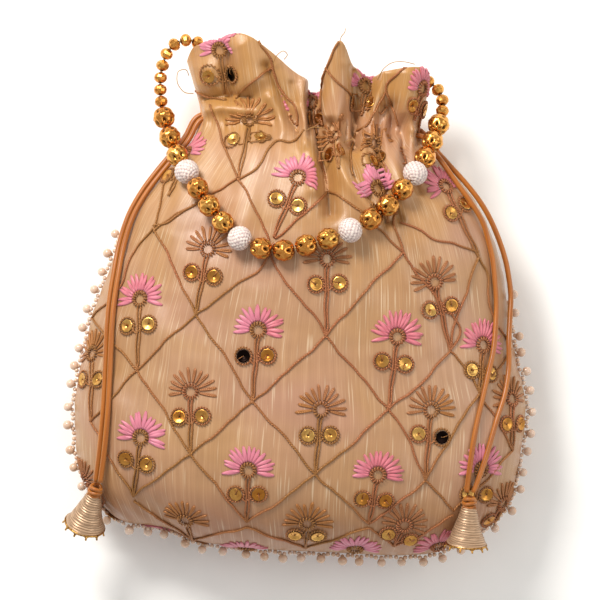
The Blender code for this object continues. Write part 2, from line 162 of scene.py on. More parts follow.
class Stitches:
    """Collects many small swept or stamped shapes that end up as one piece."""

    def __init__(self):
        self.points, self.quads, self.uv, self.depth, self.count = [], [], [], [], 0

    def add(self, points, quads, uv, depth=None):
        self.depth.append(np.zeros(len(points)) if depth is None else depth)
        self.points.append(points)
        self.quads.append(np.asarray(quads) + self.count)
        self.uv.append(uv)
        self.count += len(points)

    def sweep(self, line, radius, sides=6, up=None, flat=1.0, closed=False):
        """A tube along the line. up is the cloth's normal, and flat squeezes the tube towards the cloth."""
        line = np.asarray(line, float)
        count = len(line)
        if closed:
            ahead, behind = np.roll(line, -1, 0), np.roll(line, 1, 0)
        else:
            ahead, behind = np.vstack([line[1:], line[-1:]]), np.vstack([line[:1], line[:-1]])
        along = ahead - behind
        along /= np.maximum(np.linalg.norm(along, axis=1, keepdims=True), 1e-9)
        up = np.broadcast_to(np.array([0.0, 0, 1]) if up is None else up, line.shape)
        side = np.cross(along, up)
        short = np.linalg.norm(side, axis=1) < 1e-3
        side[short] = np.cross(along[short], [0.0, 1.0, 0.05])
        side /= np.maximum(np.linalg.norm(side, axis=1, keepdims=True), 1e-9)
        top = np.cross(side, along)
        radius = np.broadcast_to(np.asarray(radius, float), (count,))[:, None, None]
        turn = np.arange(sides) * 2 * np.pi / sides
        ring = side[:, None] * np.cos(turn)[None, :, None] + top[:, None] * np.sin(turn)[None, :, None] * flat
        points = (line[:, None] + ring * radius).reshape(-1, 3)
        travel = np.concatenate([[0], np.cumsum(np.linalg.norm(np.diff(line, axis=0), axis=1))])
        uv = np.stack(np.broadcast_arrays(np.arange(sides)[None] / sides, travel[:, None]), -1).reshape(-1, 2)
        quads = grid_quads(count, sides, wrap=True)
        if closed:
            last = (count - 1) * sides
            k = np.arange(sides)
            quads = np.vstack([quads, np.stack([last + k, last + (k + 1) % sides, (k + 1) % sides, k], -1)])
        else:
            points = np.vstack([points, line[:1], line[-1:]])
            uv = np.vstack([uv, [[0, 0]], [[0, travel[-1]]]])
            k = np.arange(sides)
            n = (k + 1) % sides
            first, last = count * sides, count * sides + 1
            quads = np.vstack([quads, np.stack([n, k, np.full(sides, first), np.full(sides, first)], -1),
                               np.stack([(count - 1) * sides + k, (count - 1) * sides + n,
                                         np.full(sides, last), np.full(sides, last)], -1)])
        self.add(points, quads, uv)

    def piece(self, name, material, smooth_shade=True):
        made = mesh_piece(name, np.vstack(self.points), np.vstack(self.quads), material, np.vstack(self.uv),
                          smooth_shade, np.concatenate(self.depth))
        print(name, len(made.data.polygons), "faces")
        return made


# %% [markdown]
# ## The shape of the bag
# Seen from above, each panel is a patch between three seams and the neck. The first seam line runs up the left
# side, the second along the bottom, the third up the right side. Across the patch the cloth follows half an
# ellipse, which keeps its rows evenly spaced over the rounded sides and makes it stand straight up at the seam.

# %% The seam in plan, and the hems of the frill
SEAM_LEFT = [(-90, -90), (-94.8, -82), (-98.5, -74), (-100, -66), (-100.6, -56), (-100.7, -47), (-99.6, -38),
             (-97.9, -29), (-95.3, -19), (-93.5, -9), (-90, 1), (-86, 11), (-82.5, 21), (-78.5, 31),
             (-74, 40.5), (-68, 49), (-60, 57.5), (-51.5, 66), (-45.5, 73), (-42.5, 80)]
SEAM_BOTTOM = [(-90, -90), (-84, -96), (-77, -99.6), (-66, -100.8), (-57.6, -102.6), (-49.5, -106.4),
               (-40.5, -108.8), (-25, -110.5), (-8, -112), (10.5, -112.7), (27.6, -113.6), (43, -114.2),
               (58, -113.4), (66, -110.8), (78, -105.2), (88, -97.5)]
SEAM_RIGHT = [(88, -97.5), (93.2, -90), (96, -81), (98.2, -70), (100.2, -58), (100.7, -46), (99.2, -37),
              (96.8, -28.5), (95.2, -19), (93.6, -9), (92, 2), (90.5, 12), (88, 22), (84.5, 31.5), (80.5, 40),
              (75.5, 48), (69.5, 55), (62.5, 61.5), (55.5, 66.5), (52.5, 72.5)]
left_seam, bottom_seam, right_seam = smooth(SEAM_LEFT), smooth(SEAM_BOTTOM), smooth(SEAM_RIGHT)
NECK_LEFT, NECK_RIGHT = left_seam[-1], right_seam[-1]
CORNER_LEFT, CORNER_RIGHT = bottom_seam[0], bottom_seam[-1]
BODY_LENGTH = (lengths(left_seam)[-1] + lengths(right_seam)[-1]) / 2

# Each hem point is (share of the frill's width, X, Y, height above or below the frill's own arch).
FRONT_HEM = [(0.0, -50.5, 106.5, 0), (0.04, -47.5, 112, 0), (0.10, -42, 113.6, 2), (0.16, -34.7, 115, 4),
             (0.22, -27.6, 117.8, 5), (0.28, -22, 116.6, 4), (0.34, -16.6, 112.8, 3), (0.40, -10, 107.5, 1),
             (0.46, -3.6, 102, -2), (0.52, 3.5, 97.2, -7), (0.565, 8, 92.5, -10), (0.61, 11.8, 100.5, -2),
             (0.655, 17.6, 114.6, 5), (0.70, 22.2, 105, 2), (0.745, 27, 102.4, -3), (0.79, 31, 99, -7),
             (0.83, 37, 101, -4), (0.87, 43.5, 102.4, 2), (0.91, 50.5, 103.4, 4), (0.95, 56, 102, 2),
             (0.975, 57, 96, 0), (1.0, 55.4, 86, 0)]
BACK_HEM = [(0.0, -50.5, 106.5, 0), (0.1, -43, 109, 0), (0.2, -34, 108, -2), (0.3, -22, 104, 1),
            (0.42, -8, 96, -2), (0.55, 7, 88, 1), (0.66, 18, 92, -2), (0.78, 31, 94.5, 1),
            (0.9, 47, 94.5, -1), (1.0, 55.4, 86, 0)]
front_hem, back_hem = smooth(FRONT_HEM), smooth(BACK_HEM)


def hem_at(hem, share):
    return np.stack([np.interp(share, hem[:, 0], hem[:, k]) for k in (1, 2, 3)], -1)


print("body length along the side seams", round(BODY_LENGTH), "mm")

# %% The body patch and its rise
SEAM_Z, NECK_Z, HEM_Z = 26.0, 30.0, 29.0
FRONT_RISE, BACK_DROP, NECK_HALF, HEM_HALF = 39.0, 36.0, 12.0, 16.0
BOTTOM_ROUND, FLOOR_BLEND = 46.0, 8.0


def body_plan(across, up):
    a, u = across[..., None], up[..., None]
    neck = NECK_LEFT * (1 - a) + NECK_RIGHT * a
    sides = at_share(left_seam, up) * (1 - a) + at_share(right_seam, up) * a
    ends = at_share(bottom_seam, across) * (1 - u) + neck * u
    corners = (CORNER_LEFT * (1 - a) + CORNER_RIGHT * a) * (1 - u) + neck * u
    return sides + ends - corners


def shoulder(up):
    """1 in the body, falling to 0 at the neck like a quarter of an ellipse."""
    return np.sqrt(np.clip(1 - (np.clip(up - 0.56, 0, None) / 0.44) ** 2, 0, 1))


def round_bottom(up):
    share = np.clip(up * BODY_LENGTH / BOTTOM_ROUND, 0, 1)
    return np.sqrt(1 - (1 - share) ** 2)


def seam_height(up):
    return SEAM_Z + (NECK_Z - SEAM_Z) * np.clip((up - 0.5) / 0.5, 0, 1)


def on_floor(z):
    """The cloth's height when the floor holds it up, with a short round turn."""
    turn = np.clip(z + FLOOR_BLEND, 0, 2 * FLOOR_BLEND) ** 2 / (4 * FLOOR_BLEND)
    return np.where(z >= FLOOR_BLEND, z, turn)


def panel_shape(theta, up, out, front):
    """Smooth panel: theta 0..pi across, up 0..1 from the bottom seam to the neck, out 0..1 along the frill."""
    across = (1 - np.cos(theta)) / 2
    plan = body_plan(across, up)
    arch = np.sin(theta) * round_bottom(up)
    if front:
        body = seam_height(up) + arch * (NECK_HALF + (FRONT_RISE - NECK_HALF) * shoulder(up))
    else:
        body = on_floor(seam_height(up) - arch ** 0.8 * (NECK_HALF + (BACK_DROP - NECK_HALF) * shoulder(up)))
    hem = hem_at(front_hem if front else back_hem, across)
    spread = out ** 0.9
    frill_plan = plan + (hem[..., :2] - plan) * out[..., None]
    half = NECK_HALF + (HEM_HALF - NECK_HALF) * out
    frill = NECK_Z + (HEM_Z - NECK_Z) * out + (1 if front else -1) * half * np.sin(theta) + hem[..., 2] * spread
    in_frill = (out > 0)[..., None]
    place = np.where(in_frill, frill_plan, plan)
    return np.concatenate([place, np.where(out > 0, frill, body)[..., None]], -1)


# %% [markdown]
# ## The folds
# A gathered bag is mostly folds at the neck and smooth below it. Each fold is a line drawn over the cloth in
# plan with a height and a width, positive for a ridge and negative for a valley. The heights add up, and a little
# slow noise keeps the cloth between them from looking like a balloon.

# %% Folds of the front, as (line, height, half width, sharpness)
FRONT_FOLDS = [
    # the deep valley beside the tent-shaped peak, from the hem down into the body
    ([(7.5, 96), (6.0, 88), (7.0, 80), (9.4, 70), (10.8, 60), (12.2, 50), (13.5, 38)], -10.5, 3.2, 1.5),
    ([(17.6, 115), (14.2, 104), (12.4, 92), (12.6, 82)], 6.5, 5.5, 2.0),
    ([(22, 104), (19.5, 92), (18, 80)], 3.0, 5.0, 2.0),
    ([(25.6, 102), (25.4, 90), (24.8, 78), (24.5, 70)], -8.0, 3.0, 1.6),
    ([(31, 99), (29.5, 90), (28, 82)], -2.5, 4.0, 2.0),
    # the right lobe and the hollow under it
    ([(38.6, 101), (35.6, 92), (31.5, 81), (29.5, 74)], 5.0, 2.6, 1.5),
    ([(47, 101), (47.5, 92), (48.5, 84)], 4.5, 7.0, 2.2),
    ([(39.5, 86), (41.5, 79), (44, 74)], -7.0, 3.4, 1.6),
    ([(45, 74), (52, 76)], 3.0, 3.0, 1.8),
    # the left lobe, the pocket edge below it and its upright fold
    ([(-41, 103), (-42, 96)], 4.5, 7.0, 2.2),
    ([(-31.5, 110), (-31.8, 99), (-31.0, 90)], -4.0, 2.2, 1.4),
    ([(-26, 113), (-22, 104), (-20, 97)], 4.0, 7.0, 2.2),
    ([(-43, 89.5), (-36, 90.5), (-29, 90.6), (-22, 89.6)], -4.2, 2.2, 1.3),
    ([(-41, 84.5), (-34, 85.5), (-27, 84.5), (-19, 84)], 3.6, 3.4, 1.8),
    ([(-15, 104), (-9.5, 93), (-5.5, 84), (-2.0, 76)], -4.2, 2.0, 1.4),
    ([(-13, 90), (-9, 82), (-6.4, 74)], 3.6, 3.0, 1.8),
    ([(1.5, 97), (0.6, 88), (1.8, 78), (2.5, 68)], 4.6, 2.6, 1.6),
    ([(-3.4, 96), (-2.2, 88)], -2.0, 1.6, 1.5),
    # pleats that fall from the drawstring on the right of the valley
    ([(16, 72), (16.6, 62), (20.5, 53), (28, 44), (35, 36)], 5.0, 3.2, 1.7),
    ([(22.4, 70), (22.8, 61), (25.5, 52), (32, 43), (38, 34)], -5.0, 2.2, 1.4),
    ([(28.5, 70), (29.5, 61), (32, 53)], 3.0, 2.8, 1.8),
    ([(34.5, 68), (35.6, 58), (38.5, 48), (44, 36)], -4.6, 2.2, 1.4),
    ([(40.5, 69), (42.5, 58), (46, 48)], 3.2, 3.0, 1.8),
    ([(46, 68), (48.6, 58), (53, 48)], -3.6, 2.2, 1.5),
    ([(51, 70), (55, 60)], 2.2, 2.6, 1.8),
    ([(4.0, 70), (5.5, 60), (6, 48)], 3.6, 3.4, 1.8),
    # long slack creases in the body
    ([(44, 27), (55, 8), (69, -20)], -1.5, 4.5, 1.6),
    ([(38, 30), (49, 8), (61, -20)], 1.3, 6.0, 2.0),
    ([(13, 34), (15, 14), (16, -8)], -1.5, 6.0, 1.8),
    ([(-44, 72), (-52, 52), (-60, 30)], 1.6, 7.0, 2.0),
    ([(-34, 76), (-40, 56), (-44, 30)], -1.4, 6.0, 1.8),
    ([(-20, 74), (-22, 54), (-26, 26)], 1.4, 7.0, 2.0),
    ([(-62, 44), (-76, 22)], -1.8, 4.0, 1.6),
    ([(-86, -40), (-74, -58), (-66, -84)], 1.2, 6.0, 2.0),
    ([(92, -30), (84, -60), (80, -90)], -1.2, 5.0, 1.8),
]


def noise(x, y, seed, octaves=3):
    """Smooth random waves in plan, about -1 to 1, from sines in random directions."""
    rng = np.random.default_rng(seed)
    total = np.zeros_like(x)
    for octave in range(octaves):
        for _ in range(7):
            turn, phase = rng.uniform(0, np.pi), rng.uniform(0, 2 * np.pi)
            pace = 2 ** octave * rng.uniform(0.7, 1.4)
            total += np.sin((x * np.cos(turn) + y * np.sin(turn)) * pace + phase) / (2.4 * 1.7 ** octave)
    return total / 2


def fold_height(x, y, folds, fade=7.0):
    """Sum of the folds at these plan positions, in millimetres; each one fades out past its ends."""
    total = np.zeros_like(x)
    spot = np.stack([x, y], -1)
    for line, height, width, sharp in folds:
        bent = at_share(smooth(line), np.linspace(0, 1, 14)) if len(line) > 2 else np.array(line, float)
        near = np.full(x.shape, 1e9)
        past = np.zeros_like(x)
        for a, b in zip(bent, bent[1:]):
            run = b - a
            share = np.clip(((spot - a) @ run) / (run @ run), 0, 1)
            off = np.linalg.norm(spot - a - share[..., None] * run, axis=-1)
            near = np.minimum(near, off)
        for tip, inner in ((bent[0], bent[1]), (bent[-1], bent[-2])):
            way = (tip - inner) / np.linalg.norm(tip - inner)
            past = np.maximum(past, np.where(np.linalg.norm(spot - tip, axis=-1) < 30, (spot - tip) @ way, 0))
        height = height * (1.3 if line[0][1] > 60 else 1.0)
        total += height * np.exp(-(near / width) ** sharp) * np.exp(-(np.clip(past + fade, 0, None) / fade / 1.6) ** 2)
    return total


def grid_normals(points):
    """Unit normals of a grid of points (rows, columns, 3)."""
    down, side = np.gradient(points, axis=0), np.gradient(points, axis=1)
    normal = np.cross(side, down)
    return normal / np.maximum(np.linalg.norm(normal, axis=-1, keepdims=True), 1e-9)


# %% The cloth grids
FLAT_WIDTH, FLAT_LENGTH, NECK_AT = 0.225, 0.280, 0.86
HEM_TURN = [(1.0, 0.35, 0.5), (1.0, 0.9, 0.4), (0.97, 1.2, 0.0), (0.90, 1.3, 0.0), (0.80, 1.3, 0.0)]


def cloth_grid(columns, body_rows, frill_rows, front):
    """Points and flat positions of one panel, folds included, with the top edge turned in as a hem."""
    up_rows = np.concatenate([1 - (1 - np.linspace(0, 1, body_rows)) ** 1.0, np.ones(frill_rows)])
    out_rows = np.concatenate([np.zeros(body_rows), np.linspace(0, 1, frill_rows + 1)[1:]])
    theta = np.linspace(0, np.pi, columns)
    angle, up = np.meshgrid(theta, up_rows)
    out = np.broadcast_to(out_rows[:, None], angle.shape)
    points = panel_shape(angle, up, out, front)
    # the body's steep shoulder is eased into the frill
    ease = (0.5 * np.exp(-((up_rows - 1) * BODY_LENGTH / 16) ** 2) * np.exp(-(out_rows / 0.45) ** 2))[:, None, None]
    for _ in range(60 if body_rows > 150 else 24):
        points[1:-1] += ease[1:-1] * (points[:-2] + points[2:] - 2 * points[1:-1]) / 2
    across = (1 - np.cos(angle)) / 2
    inside = np.clip(np.sin(angle) * 3.2, 0, 1) * np.clip(up * BODY_LENGTH / 14, 0, 1)
    seam_gap = np.minimum(np.sin(angle) * 90, up * BODY_LENGTH)
    along = up * BODY_LENGTH + across * 260
    x, y = points[..., 0], points[..., 1]
    slack = 0.9 * noise(x / 13, y / 17, 3) + 0.28 * noise(x / 4.2, y / 6.0, 8)
    pucker = 0.75 * np.exp(-seam_gap / 7) * np.clip(seam_gap / 2, 0, 1) * np.sin(along / 1.9 + 2 * noise(x / 20, y / 20, 5))
    if front:
        lift = fold_height(x, y, FRONT_FOLDS) + slack
        near_neck = np.exp(-((y - 76 + 0.06 * x) / 7.5) ** 2)
        tight = 2.1 * np.sin(x * 1.18 + 1.2 * noise(x / 9, y / 9, 12)) * near_neck
        lift = (lift + tight * np.clip((x + 6) / 8, 0.25, 1)) * inside + pucker
    else:
        drop = (1 - up) * BODY_LENGTH + 0 * out
        fall = np.exp(-(drop / 38) ** 2) * (1 - 0.55 * out)
        gather = np.sin(across * 46 + 1.5 * np.sin(across * 17)) + 0.5 * np.sin(across * 83 + 1)
        lift = (3.0 * gather * fall + slack * np.clip(drop / 40, 0.5, 1)) * inside + pucker
    normal = grid_normals(points)
    if not front:
        normal = -normal
    steep = np.clip(np.abs(normal[..., 2:]), 0.35, 1)
    way = normal * 0.45 + np.array([0, 0, 1.0 if front else -1.0]) * 0.55 * steep
    points = points + way * lift[..., None]
    if not front:
        points[..., 2] = on_floor(points[..., 2])
    share = np.concatenate([np.linspace(0, NECK_AT, body_rows), np.linspace(NECK_AT, 1, frill_rows + 1)[1:]])
    flat = np.stack(np.broadcast_arrays((theta / np.pi * FLAT_WIDTH / MM)[None], (share * FLAT_LENGTH / MM)[:, None]), -1)
    normal = grid_normals(points) * (1 if front else -1)
    # the hem turns over the edge and runs back down inside
    rows, flats = [points], [flat]
    edge_run = points[-1] - points[-2]
    edge_run /= np.maximum(np.linalg.norm(edge_run, axis=-1, keepdims=True), 1e-9)
    for step, (back, inward, beyond) in enumerate(HEM_TURN):
        row = body_rows + frill_rows - 1 - (1 - back) * frill_rows
        low, part = int(math.floor(row)), row - math.floor(row)
        high = min(low + 1, len(points) - 1)
        base = points[low] * (1 - part) + points[high] * part
        face = normal[low] * (1 - part) + normal[high] * part
        rows.append((base - face * inward + edge_run * beyond)[None])
        flats.append((flat[-1] + np.array([0.0, 1.2 * (step + 1)]))[None])
    return np.concatenate(rows), np.concatenate(flats)


def quads_facing_out(rows, columns, front):
    quads = grid_quads(rows, columns)
    return quads if front else quads[:, ::-1]


SIZE = ((230, 190, 56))
front_points, front_flat = cloth_grid(*SIZE, front=True)
back_points, back_flat = cloth_grid(150, 120, 30, front=False)
print("front cloth grid", front_points.shape, "height", front_points[..., 2].min().round(1), "to",
      front_points[..., 2].max().round(1), "mm; back", back_points[..., 2].min().round(1))
# %% [markdown]
# ## Materials
# Every finish is drawn by nodes at its real scale. Three patterns are shared: the fine upright grain of woven
# silk, the twist of a thread, and the small uneven spots of handled metal.

# %% A short way to write nodes
class Nodes:
    def __init__(self, tree):
        self.tree = tree

    def add(self, kind, inputs=None, **settings):
        node = self.tree.nodes.new("ShaderNode" + kind)
        for key, value in settings.items():
            setattr(node, key, value)
        for key, value in (inputs or {}).items():
            self.feed(node.inputs[key], value)
        return node

    def feed(self, socket, value):
        if isinstance(value, bpy.types.NodeSocket):
            self.tree.links.new(value, socket)
        else:
            socket.default_value = value

    def math(self, operation, a, b=0.0, clamp=False):
        node = self.add("Math", {0: a, 1: b}, operation=operation)
        node.use_clamp = clamp
        return node.outputs[0]

    def scaled(self, vector, scale):
        return self.add("Mapping", {"Vector": vector, "Scale": scale}).outputs["Vector"]

    def noise(self, vector, scale, detail=2.0, roughness=0.5):
        return self.add("TexNoise", {"Vector": vector, "Scale": scale, "Detail": detail,
                                     "Roughness": roughness}).outputs["Fac"]

    def between(self, value, low, high, to_low=0.0, to_high=1.0):
        return self.add("MapRange", {0: value, 1: low, 2: high, 3: to_low, 4: to_high}).outputs[0]

    def mix(self, share, a, b, blend="MIX"):
        node = self.add("Mix", data_type="RGBA", blend_type=blend)
        for socket, value in ((node.inputs[0], share), (node.inputs[6], a), (node.inputs[7], b)):
            self.feed(socket, value)
        return node.outputs[2]

    def place(self, layer=None):
        """Flat positions on a cloth or along a thread, or else positions in the room; both in metres."""
        if layer:
            return self.add("UVMap", uv_map=layer).outputs["UV"]
        return self.add("TexCoord").outputs["Object"]

    def group(self, shared, inputs):
        node = self.add("Group", node_tree=shared)
        for key, value in inputs.items():
            self.feed(node.inputs[key], value)
        return node.outputs


def srgb(red, green, blue):
    """A colour as seen on a screen, 0 to 255, made linear."""
    return tuple(c / 12.92 if c <= 0.04045 else ((c + 0.055) / 1.055) ** 2.4
                 for c in (red / 255, green / 255, blue / 255)) + (1.0,)


def shared_pattern(name, inputs, outputs):
    tree = bpy.data.node_groups.new(name, "ShaderNodeTree")
    for title, kind in inputs:
        tree.interface.new_socket(title, in_out="INPUT", socket_type=kind)
    for title, kind in outputs:
        tree.interface.new_socket(title, in_out="OUTPUT", socket_type=kind)
    n = Nodes(tree)
    return tree, n, n.tree.nodes.new("NodeGroupInput"), n.tree.nodes.new("NodeGroupOutput")


def finish_of(name, colour, roughness=0.5, metallic=0.0, normal=None, **constants):
    """A material whose changing parts are links; the constants are set on the shader's own sockets."""
    material = bpy.data.materials.new(name)
    material.use_nodes = True
    n = Nodes(material.node_tree)
    shader = material.node_tree.nodes["Principled BSDF"]
    made = {"Base Color": colour(n), "Roughness": roughness(n) if callable(roughness) else roughness,
            "Metallic": metallic(n) if callable(metallic) else metallic}
    if normal:
        made["Normal"] = normal(n)
    for key, value in {**made, **constants}.items():
        n.feed(shader.inputs[key], value)
    return material


# %% Shared patterns
grain, n, given, told = shared_pattern(
    "woven_grain", [("Flat", "NodeSocketVector")],
    [("Streaks", "NodeSocketFloat"), ("Slubs", "NodeSocketFloat"), ("Height", "NodeSocketFloat")])
flat = given.outputs["Flat"]
streaks = n.noise(n.scaled(flat, (1700, 16, 1)), 1.0, 2.0)
broad = n.noise(n.scaled(flat, (380, 9, 1)), 1.0, 1.0)
slubs = n.between(n.noise(n.scaled(flat, (2100, 40, 1)), 1.0, 0.0), 0.66, 0.78)
warp = n.math("SINE", n.math("MULTIPLY", n.add("SeparateXYZ", {0: flat}).outputs[0], 2 * math.pi / 0.00062))
weft = n.math("SINE", n.math("MULTIPLY", n.add("SeparateXYZ", {0: flat}).outputs[1], 2 * math.pi / 0.00052))
weave = n.math("MULTIPLY", n.math("MULTIPLY", warp, weft), 0.35)
n.feed(told.inputs["Streaks"], n.math("ADD", n.math("MULTIPLY", streaks, 0.65), n.math("MULTIPLY", broad, 0.35)))
n.feed(told.inputs["Slubs"], slubs)
n.feed(told.inputs["Height"], n.math("ADD", n.math("ADD", weave, streaks), n.math("MULTIPLY", slubs, 0.5)))

twist, n, given, told = shared_pattern(
    "thread_twist", [("Along", "NodeSocketVector"), ("Pitch", "NodeSocketFloat")],
    [("Strand", "NodeSocketFloat"), ("Fuzz", "NodeSocketFloat")])
parts = n.add("SeparateXYZ", {0: given.outputs["Along"]}).outputs
turns = n.math("ADD", n.math("DIVIDE", parts[1], given.outputs["Pitch"]), n.math("MULTIPLY", parts[0], 3000.0))
n.feed(told.inputs["Strand"], n.math("ABSOLUTE", n.math("SINE", n.math("MULTIPLY", turns, math.pi))))
n.feed(told.inputs["Fuzz"], n.noise(n.scaled(given.outputs["Along"], (9000, 2600, 1)), 1.0, 3.0))

spots, n, given, told = shared_pattern(
    "handled_metal", [("Place", "NodeSocketVector")], [("Spots", "NodeSocketFloat"), ("Wear", "NodeSocketFloat")])
n.feed(told.inputs["Spots"], n.noise(given.outputs["Place"], 900.0, 3.0))
n.feed(told.inputs["Wear"], n.between(n.noise(given.outputs["Place"], 260.0, 2.0), 0.4, 0.7))


# %% Cloth finishes
def silk_colour(n):
    flat = n.place("flat")
    woven = n.group(grain, {"Flat": flat})
    up = n.add("SeparateXYZ", {0: flat}).outputs[1]
    drift = n.math("ADD", n.between(up, 0.0, 0.27), n.math("MULTIPLY", n.noise(flat, 22.0, 2.0), 0.5))
    ground = n.mix(n.between(drift, 0.72, 1.12), srgb(176, 132, 96), srgb(184, 132, 70))
    golden = n.mix(n.between(n.noise(flat, 26.0, 1.0), 0.42, 0.62, 0.0, 0.6), ground, srgb(178, 134, 84))
    rosy = n.mix(n.between(n.noise(flat, 19.0, 1.0), 0.50, 0.68, 0.0, 0.7), golden, srgb(180, 132, 108))
    # Painted shade: the lowest strip of cloth, where it curves under towards the floor, is darkened to a deep orange.
    low = n.between(up, 0.008, 0.035, 0.55, 0.0)
    rosy = n.mix(low, rosy, srgb(150, 84, 40))
    streaked = n.mix(n.between(woven["Streaks"], 0.38, 0.62), n.mix(0.25, rosy, srgb(132, 90, 50)), rosy)
    shot = n.mix(n.between(woven["Streaks"], 0.55, 0.75, 0.0, 0.5), streaked, srgb(206, 172, 134))
    return n.mix(n.math("MULTIPLY", woven["Slubs"], 0.45), shot, srgb(226, 204, 172))


def silk_roughness(n):
    return n.between(n.group(grain, {"Flat": n.place("flat")})["Streaks"], 0.3, 0.7, 0.44, 0.28)


def silk_normal(n):
    height = n.group(grain, {"Flat": n.place("flat")})["Height"]
    return n.add("Bump", {"Height": height, "Strength": 0.35, "Distance": 0.00012}).outputs[0]


brocade = finish_of("brocade", silk_colour, silk_roughness, 0.0, silk_normal,
                    **{"Sheen Weight": 0.25, "Sheen Roughness": 0.35, "Sheen Tint": (1.0, 0.86, 0.66, 1),
                       "Specular IOR Level": 0.75})


def lining_colour(n):
    woven = n.group(grain, {"Flat": n.place("flat")})
    return n.mix(n.between(woven["Streaks"], 0.35, 0.65), srgb(188, 132, 84), srgb(214, 164, 116))


lining_cloth = finish_of("lining_cloth", lining_colour, 0.55, 0.0, silk_normal, **{"Sheen Weight": 0.2})

# %% [markdown]
# ## The panels of cloth
# Both panels are one grid each, from the bottom seam up to the hem, so the drawstring only changes how tightly
# they are folded. The lining follows the same shape a little further in.

# %% Front, back and lining
def cloth_piece(name, points, flats, front, material):
    rows, columns = points.shape[:2]
    return mesh_piece(name, points.reshape(-1, 3), quads_facing_out(rows, columns, front), material,
                      flats.reshape(-1, 2))


front_cloth = cloth_piece("front_cloth", front_points, front_flat, True, brocade)
back_cloth = cloth_piece("back_cloth", back_points, back_flat, False, brocade)


def lining_layers():
    points, quads, flats, count = [], [], [], 0
    for front in (True, False):
        grid, flat = cloth_grid(72, 60, 18, front)
        grid, flat = grid[:-len(HEM_TURN)], flat[:-len(HEM_TURN)]
        normal = grid_normals(grid) * (1 if front else -1)
        edge = np.clip(np.sin(np.linspace(0, np.pi, 72))[None, :, None] * 4, 0, 1)
        grid = grid - normal * 1.7 * edge
        grid = grid[2:-2]
        rows, columns = grid.shape[:2]
        points.append(grid.reshape(-1, 3))
        flats.append(flat[2:-2].reshape(-1, 2))
        quads.append(quads_facing_out(rows, columns, not front) + count)
        count += rows * columns
    return mesh_piece("lining_inside", np.vstack(points), np.vstack(quads), lining_cloth, np.vstack(flats))


lining_inside = lining_layers()
for piece, node, slot in ((front_cloth, "front_panel", "brocade"), (back_cloth, "back_panel", "brocade"),
                          (lining_inside, "lining", "lining_cloth")):
    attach(piece, "root")
    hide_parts(node)
print("cloth faces", len(front_cloth.data.polygons), len(back_cloth.data.polygons), len(lining_inside.data.polygons))
# %% [markdown]
# ## Drawstrings and tassels
# Two satin cords leave the casing on each side, run together down the bag and end in one tassel. A tassel is a
# collar of knotted cord, a cone wound with metallic thread, and a scalloped wire trim at its rim.

# %% Cord, thread and metal finishes
def thread_finish(name, dark, light, pitch, roughness=0.45, metallic=0.0, depth=0.0002, blush=None, **constants):
    def colour(n):
        made = n.group(twist, {"Along": n.place("flat"), "Pitch": pitch})
        # The colour follows the twist: the grooves between the strands are painted darker, as painted shade; the fuzz
        # and the patches are the thread's own uneven tone.
        share = n.math("ADD", n.math("MULTIPLY", made["Strand"], 0.55), n.math("MULTIPLY", made["Fuzz"], 0.6), True)
        patch = n.between(n.noise(n.place(), 55.0, 2.0), 0.35, 0.68, 0.0, 0.45)
        even = n.mix(patch, n.mix(share, dark, light), n.mix(0.5, dark, light))
        return n.mix(n.between(n.noise(n.place(), 24.0, 1.0), 0.42, 0.6, 0.0, 0.65), even, blush) if blush else even

    def normal(n):
        made = n.group(twist, {"Along": n.place("flat"), "Pitch": pitch})
        height = n.math("ADD", made["Strand"], n.math("MULTIPLY", made["Fuzz"], 0.5))
        return n.add("Bump", {"Height": height, "Strength": 0.55, "Distance": depth}).outputs[0]

    def rough(n):
        return n.between(n.group(twist, {"Along": n.place("flat"), "Pitch": pitch})["Fuzz"], 0.3, 0.7,
                         roughness - 0.1, roughness + 0.12)

    return finish_of(name, colour, rough, metallic, normal, **constants)


def metal_finish(name, dark, light, roughness=0.25, **constants):
    def colour(n):
        made = n.group(spots, {"Place": n.place()})
        return n.mix(n.between(made["Spots"], 0.3, 0.7), dark, n.mix(made["Wear"], light, n.mix(0.35, light, dark)))

    def rough(n):
        return n.between(n.group(spots, {"Place": n.place()})["Spots"], 0.3, 0.75, roughness - 0.08, roughness + 0.2)

    def normal(n):
        return n.add("Bump", {"Height": n.group(spots, {"Place": n.place()})["Spots"], "Strength": 0.35,
                              "Distance": 0.00025}).outputs[0]

    return finish_of(name, colour, rough, 1.0, normal, **constants)


satin_cord = thread_finish("satin_cord", srgb(128, 60, 4), srgb(180, 104, 24), 0.05, 0.36, 0.0, 0.00008,
                           **{"Sheen Weight": 0.35, "Sheen Tint": (1, 0.75, 0.4, 1)})
wound_zari = thread_finish("wound_zari", srgb(126, 90, 62), srgb(204, 172, 140), 0.0011, 0.38, 0.45, 0.00015)
gold_wire = metal_finish("gold_wire", srgb(120, 74, 26), srgb(226, 176, 96), 0.28)

# %% Cord strands
CORD, GAP, TASSEL_LONG, RING_WIRE = 2.4, 0.3, 17.0, 1.2
LEFT_STRAND = [(-38, 81.5, 30), (-43, 81.8, 30), (-46.5, 79.6, 30.5), (-50.5, 72, 31.5), (-56.5, 64.5, 34), (-63.5, 56, 35.5), (-70, 47, 36.5),
               (-75.4, 37, 37.4), (-79.2, 25, 39.4), (-81.6, 12, 42.4), (-83.4, 0, 44.5), (-84.4, -12, 46.5),
               (-84.9, -24, 48.1), (-85.4, -36, 49.4), (-86, -48, 50.4), (-87, -60, 50), (-88.2, -71, 48.6),
               (-89.6, -80.6, 46.8)]
RIGHT_OUTER_STRAND = [(48, 75.6, 30), (52.5, 76, 30), (55.8, 73.6, 30), (60.5, 67, 32), (66.5, 60.2, 33), (73, 53, 33.5), (79, 45.6, 33.5),
                      (84, 37.6, 33), (87.8, 29.2, 32.5), (91, 20, 32), (92.8, 12, 31.8), (94, 2, 32),
                      (93.5, -8, 35), (92.9, -18, 38.2), (92.8, -30, 40.6), (90.8, -42, 44.2), (87.2, -53, 47.8),
                      (82.8, -68, 50.4), (79.4, -78, 52), (76.6, -85.2, 52.4)]
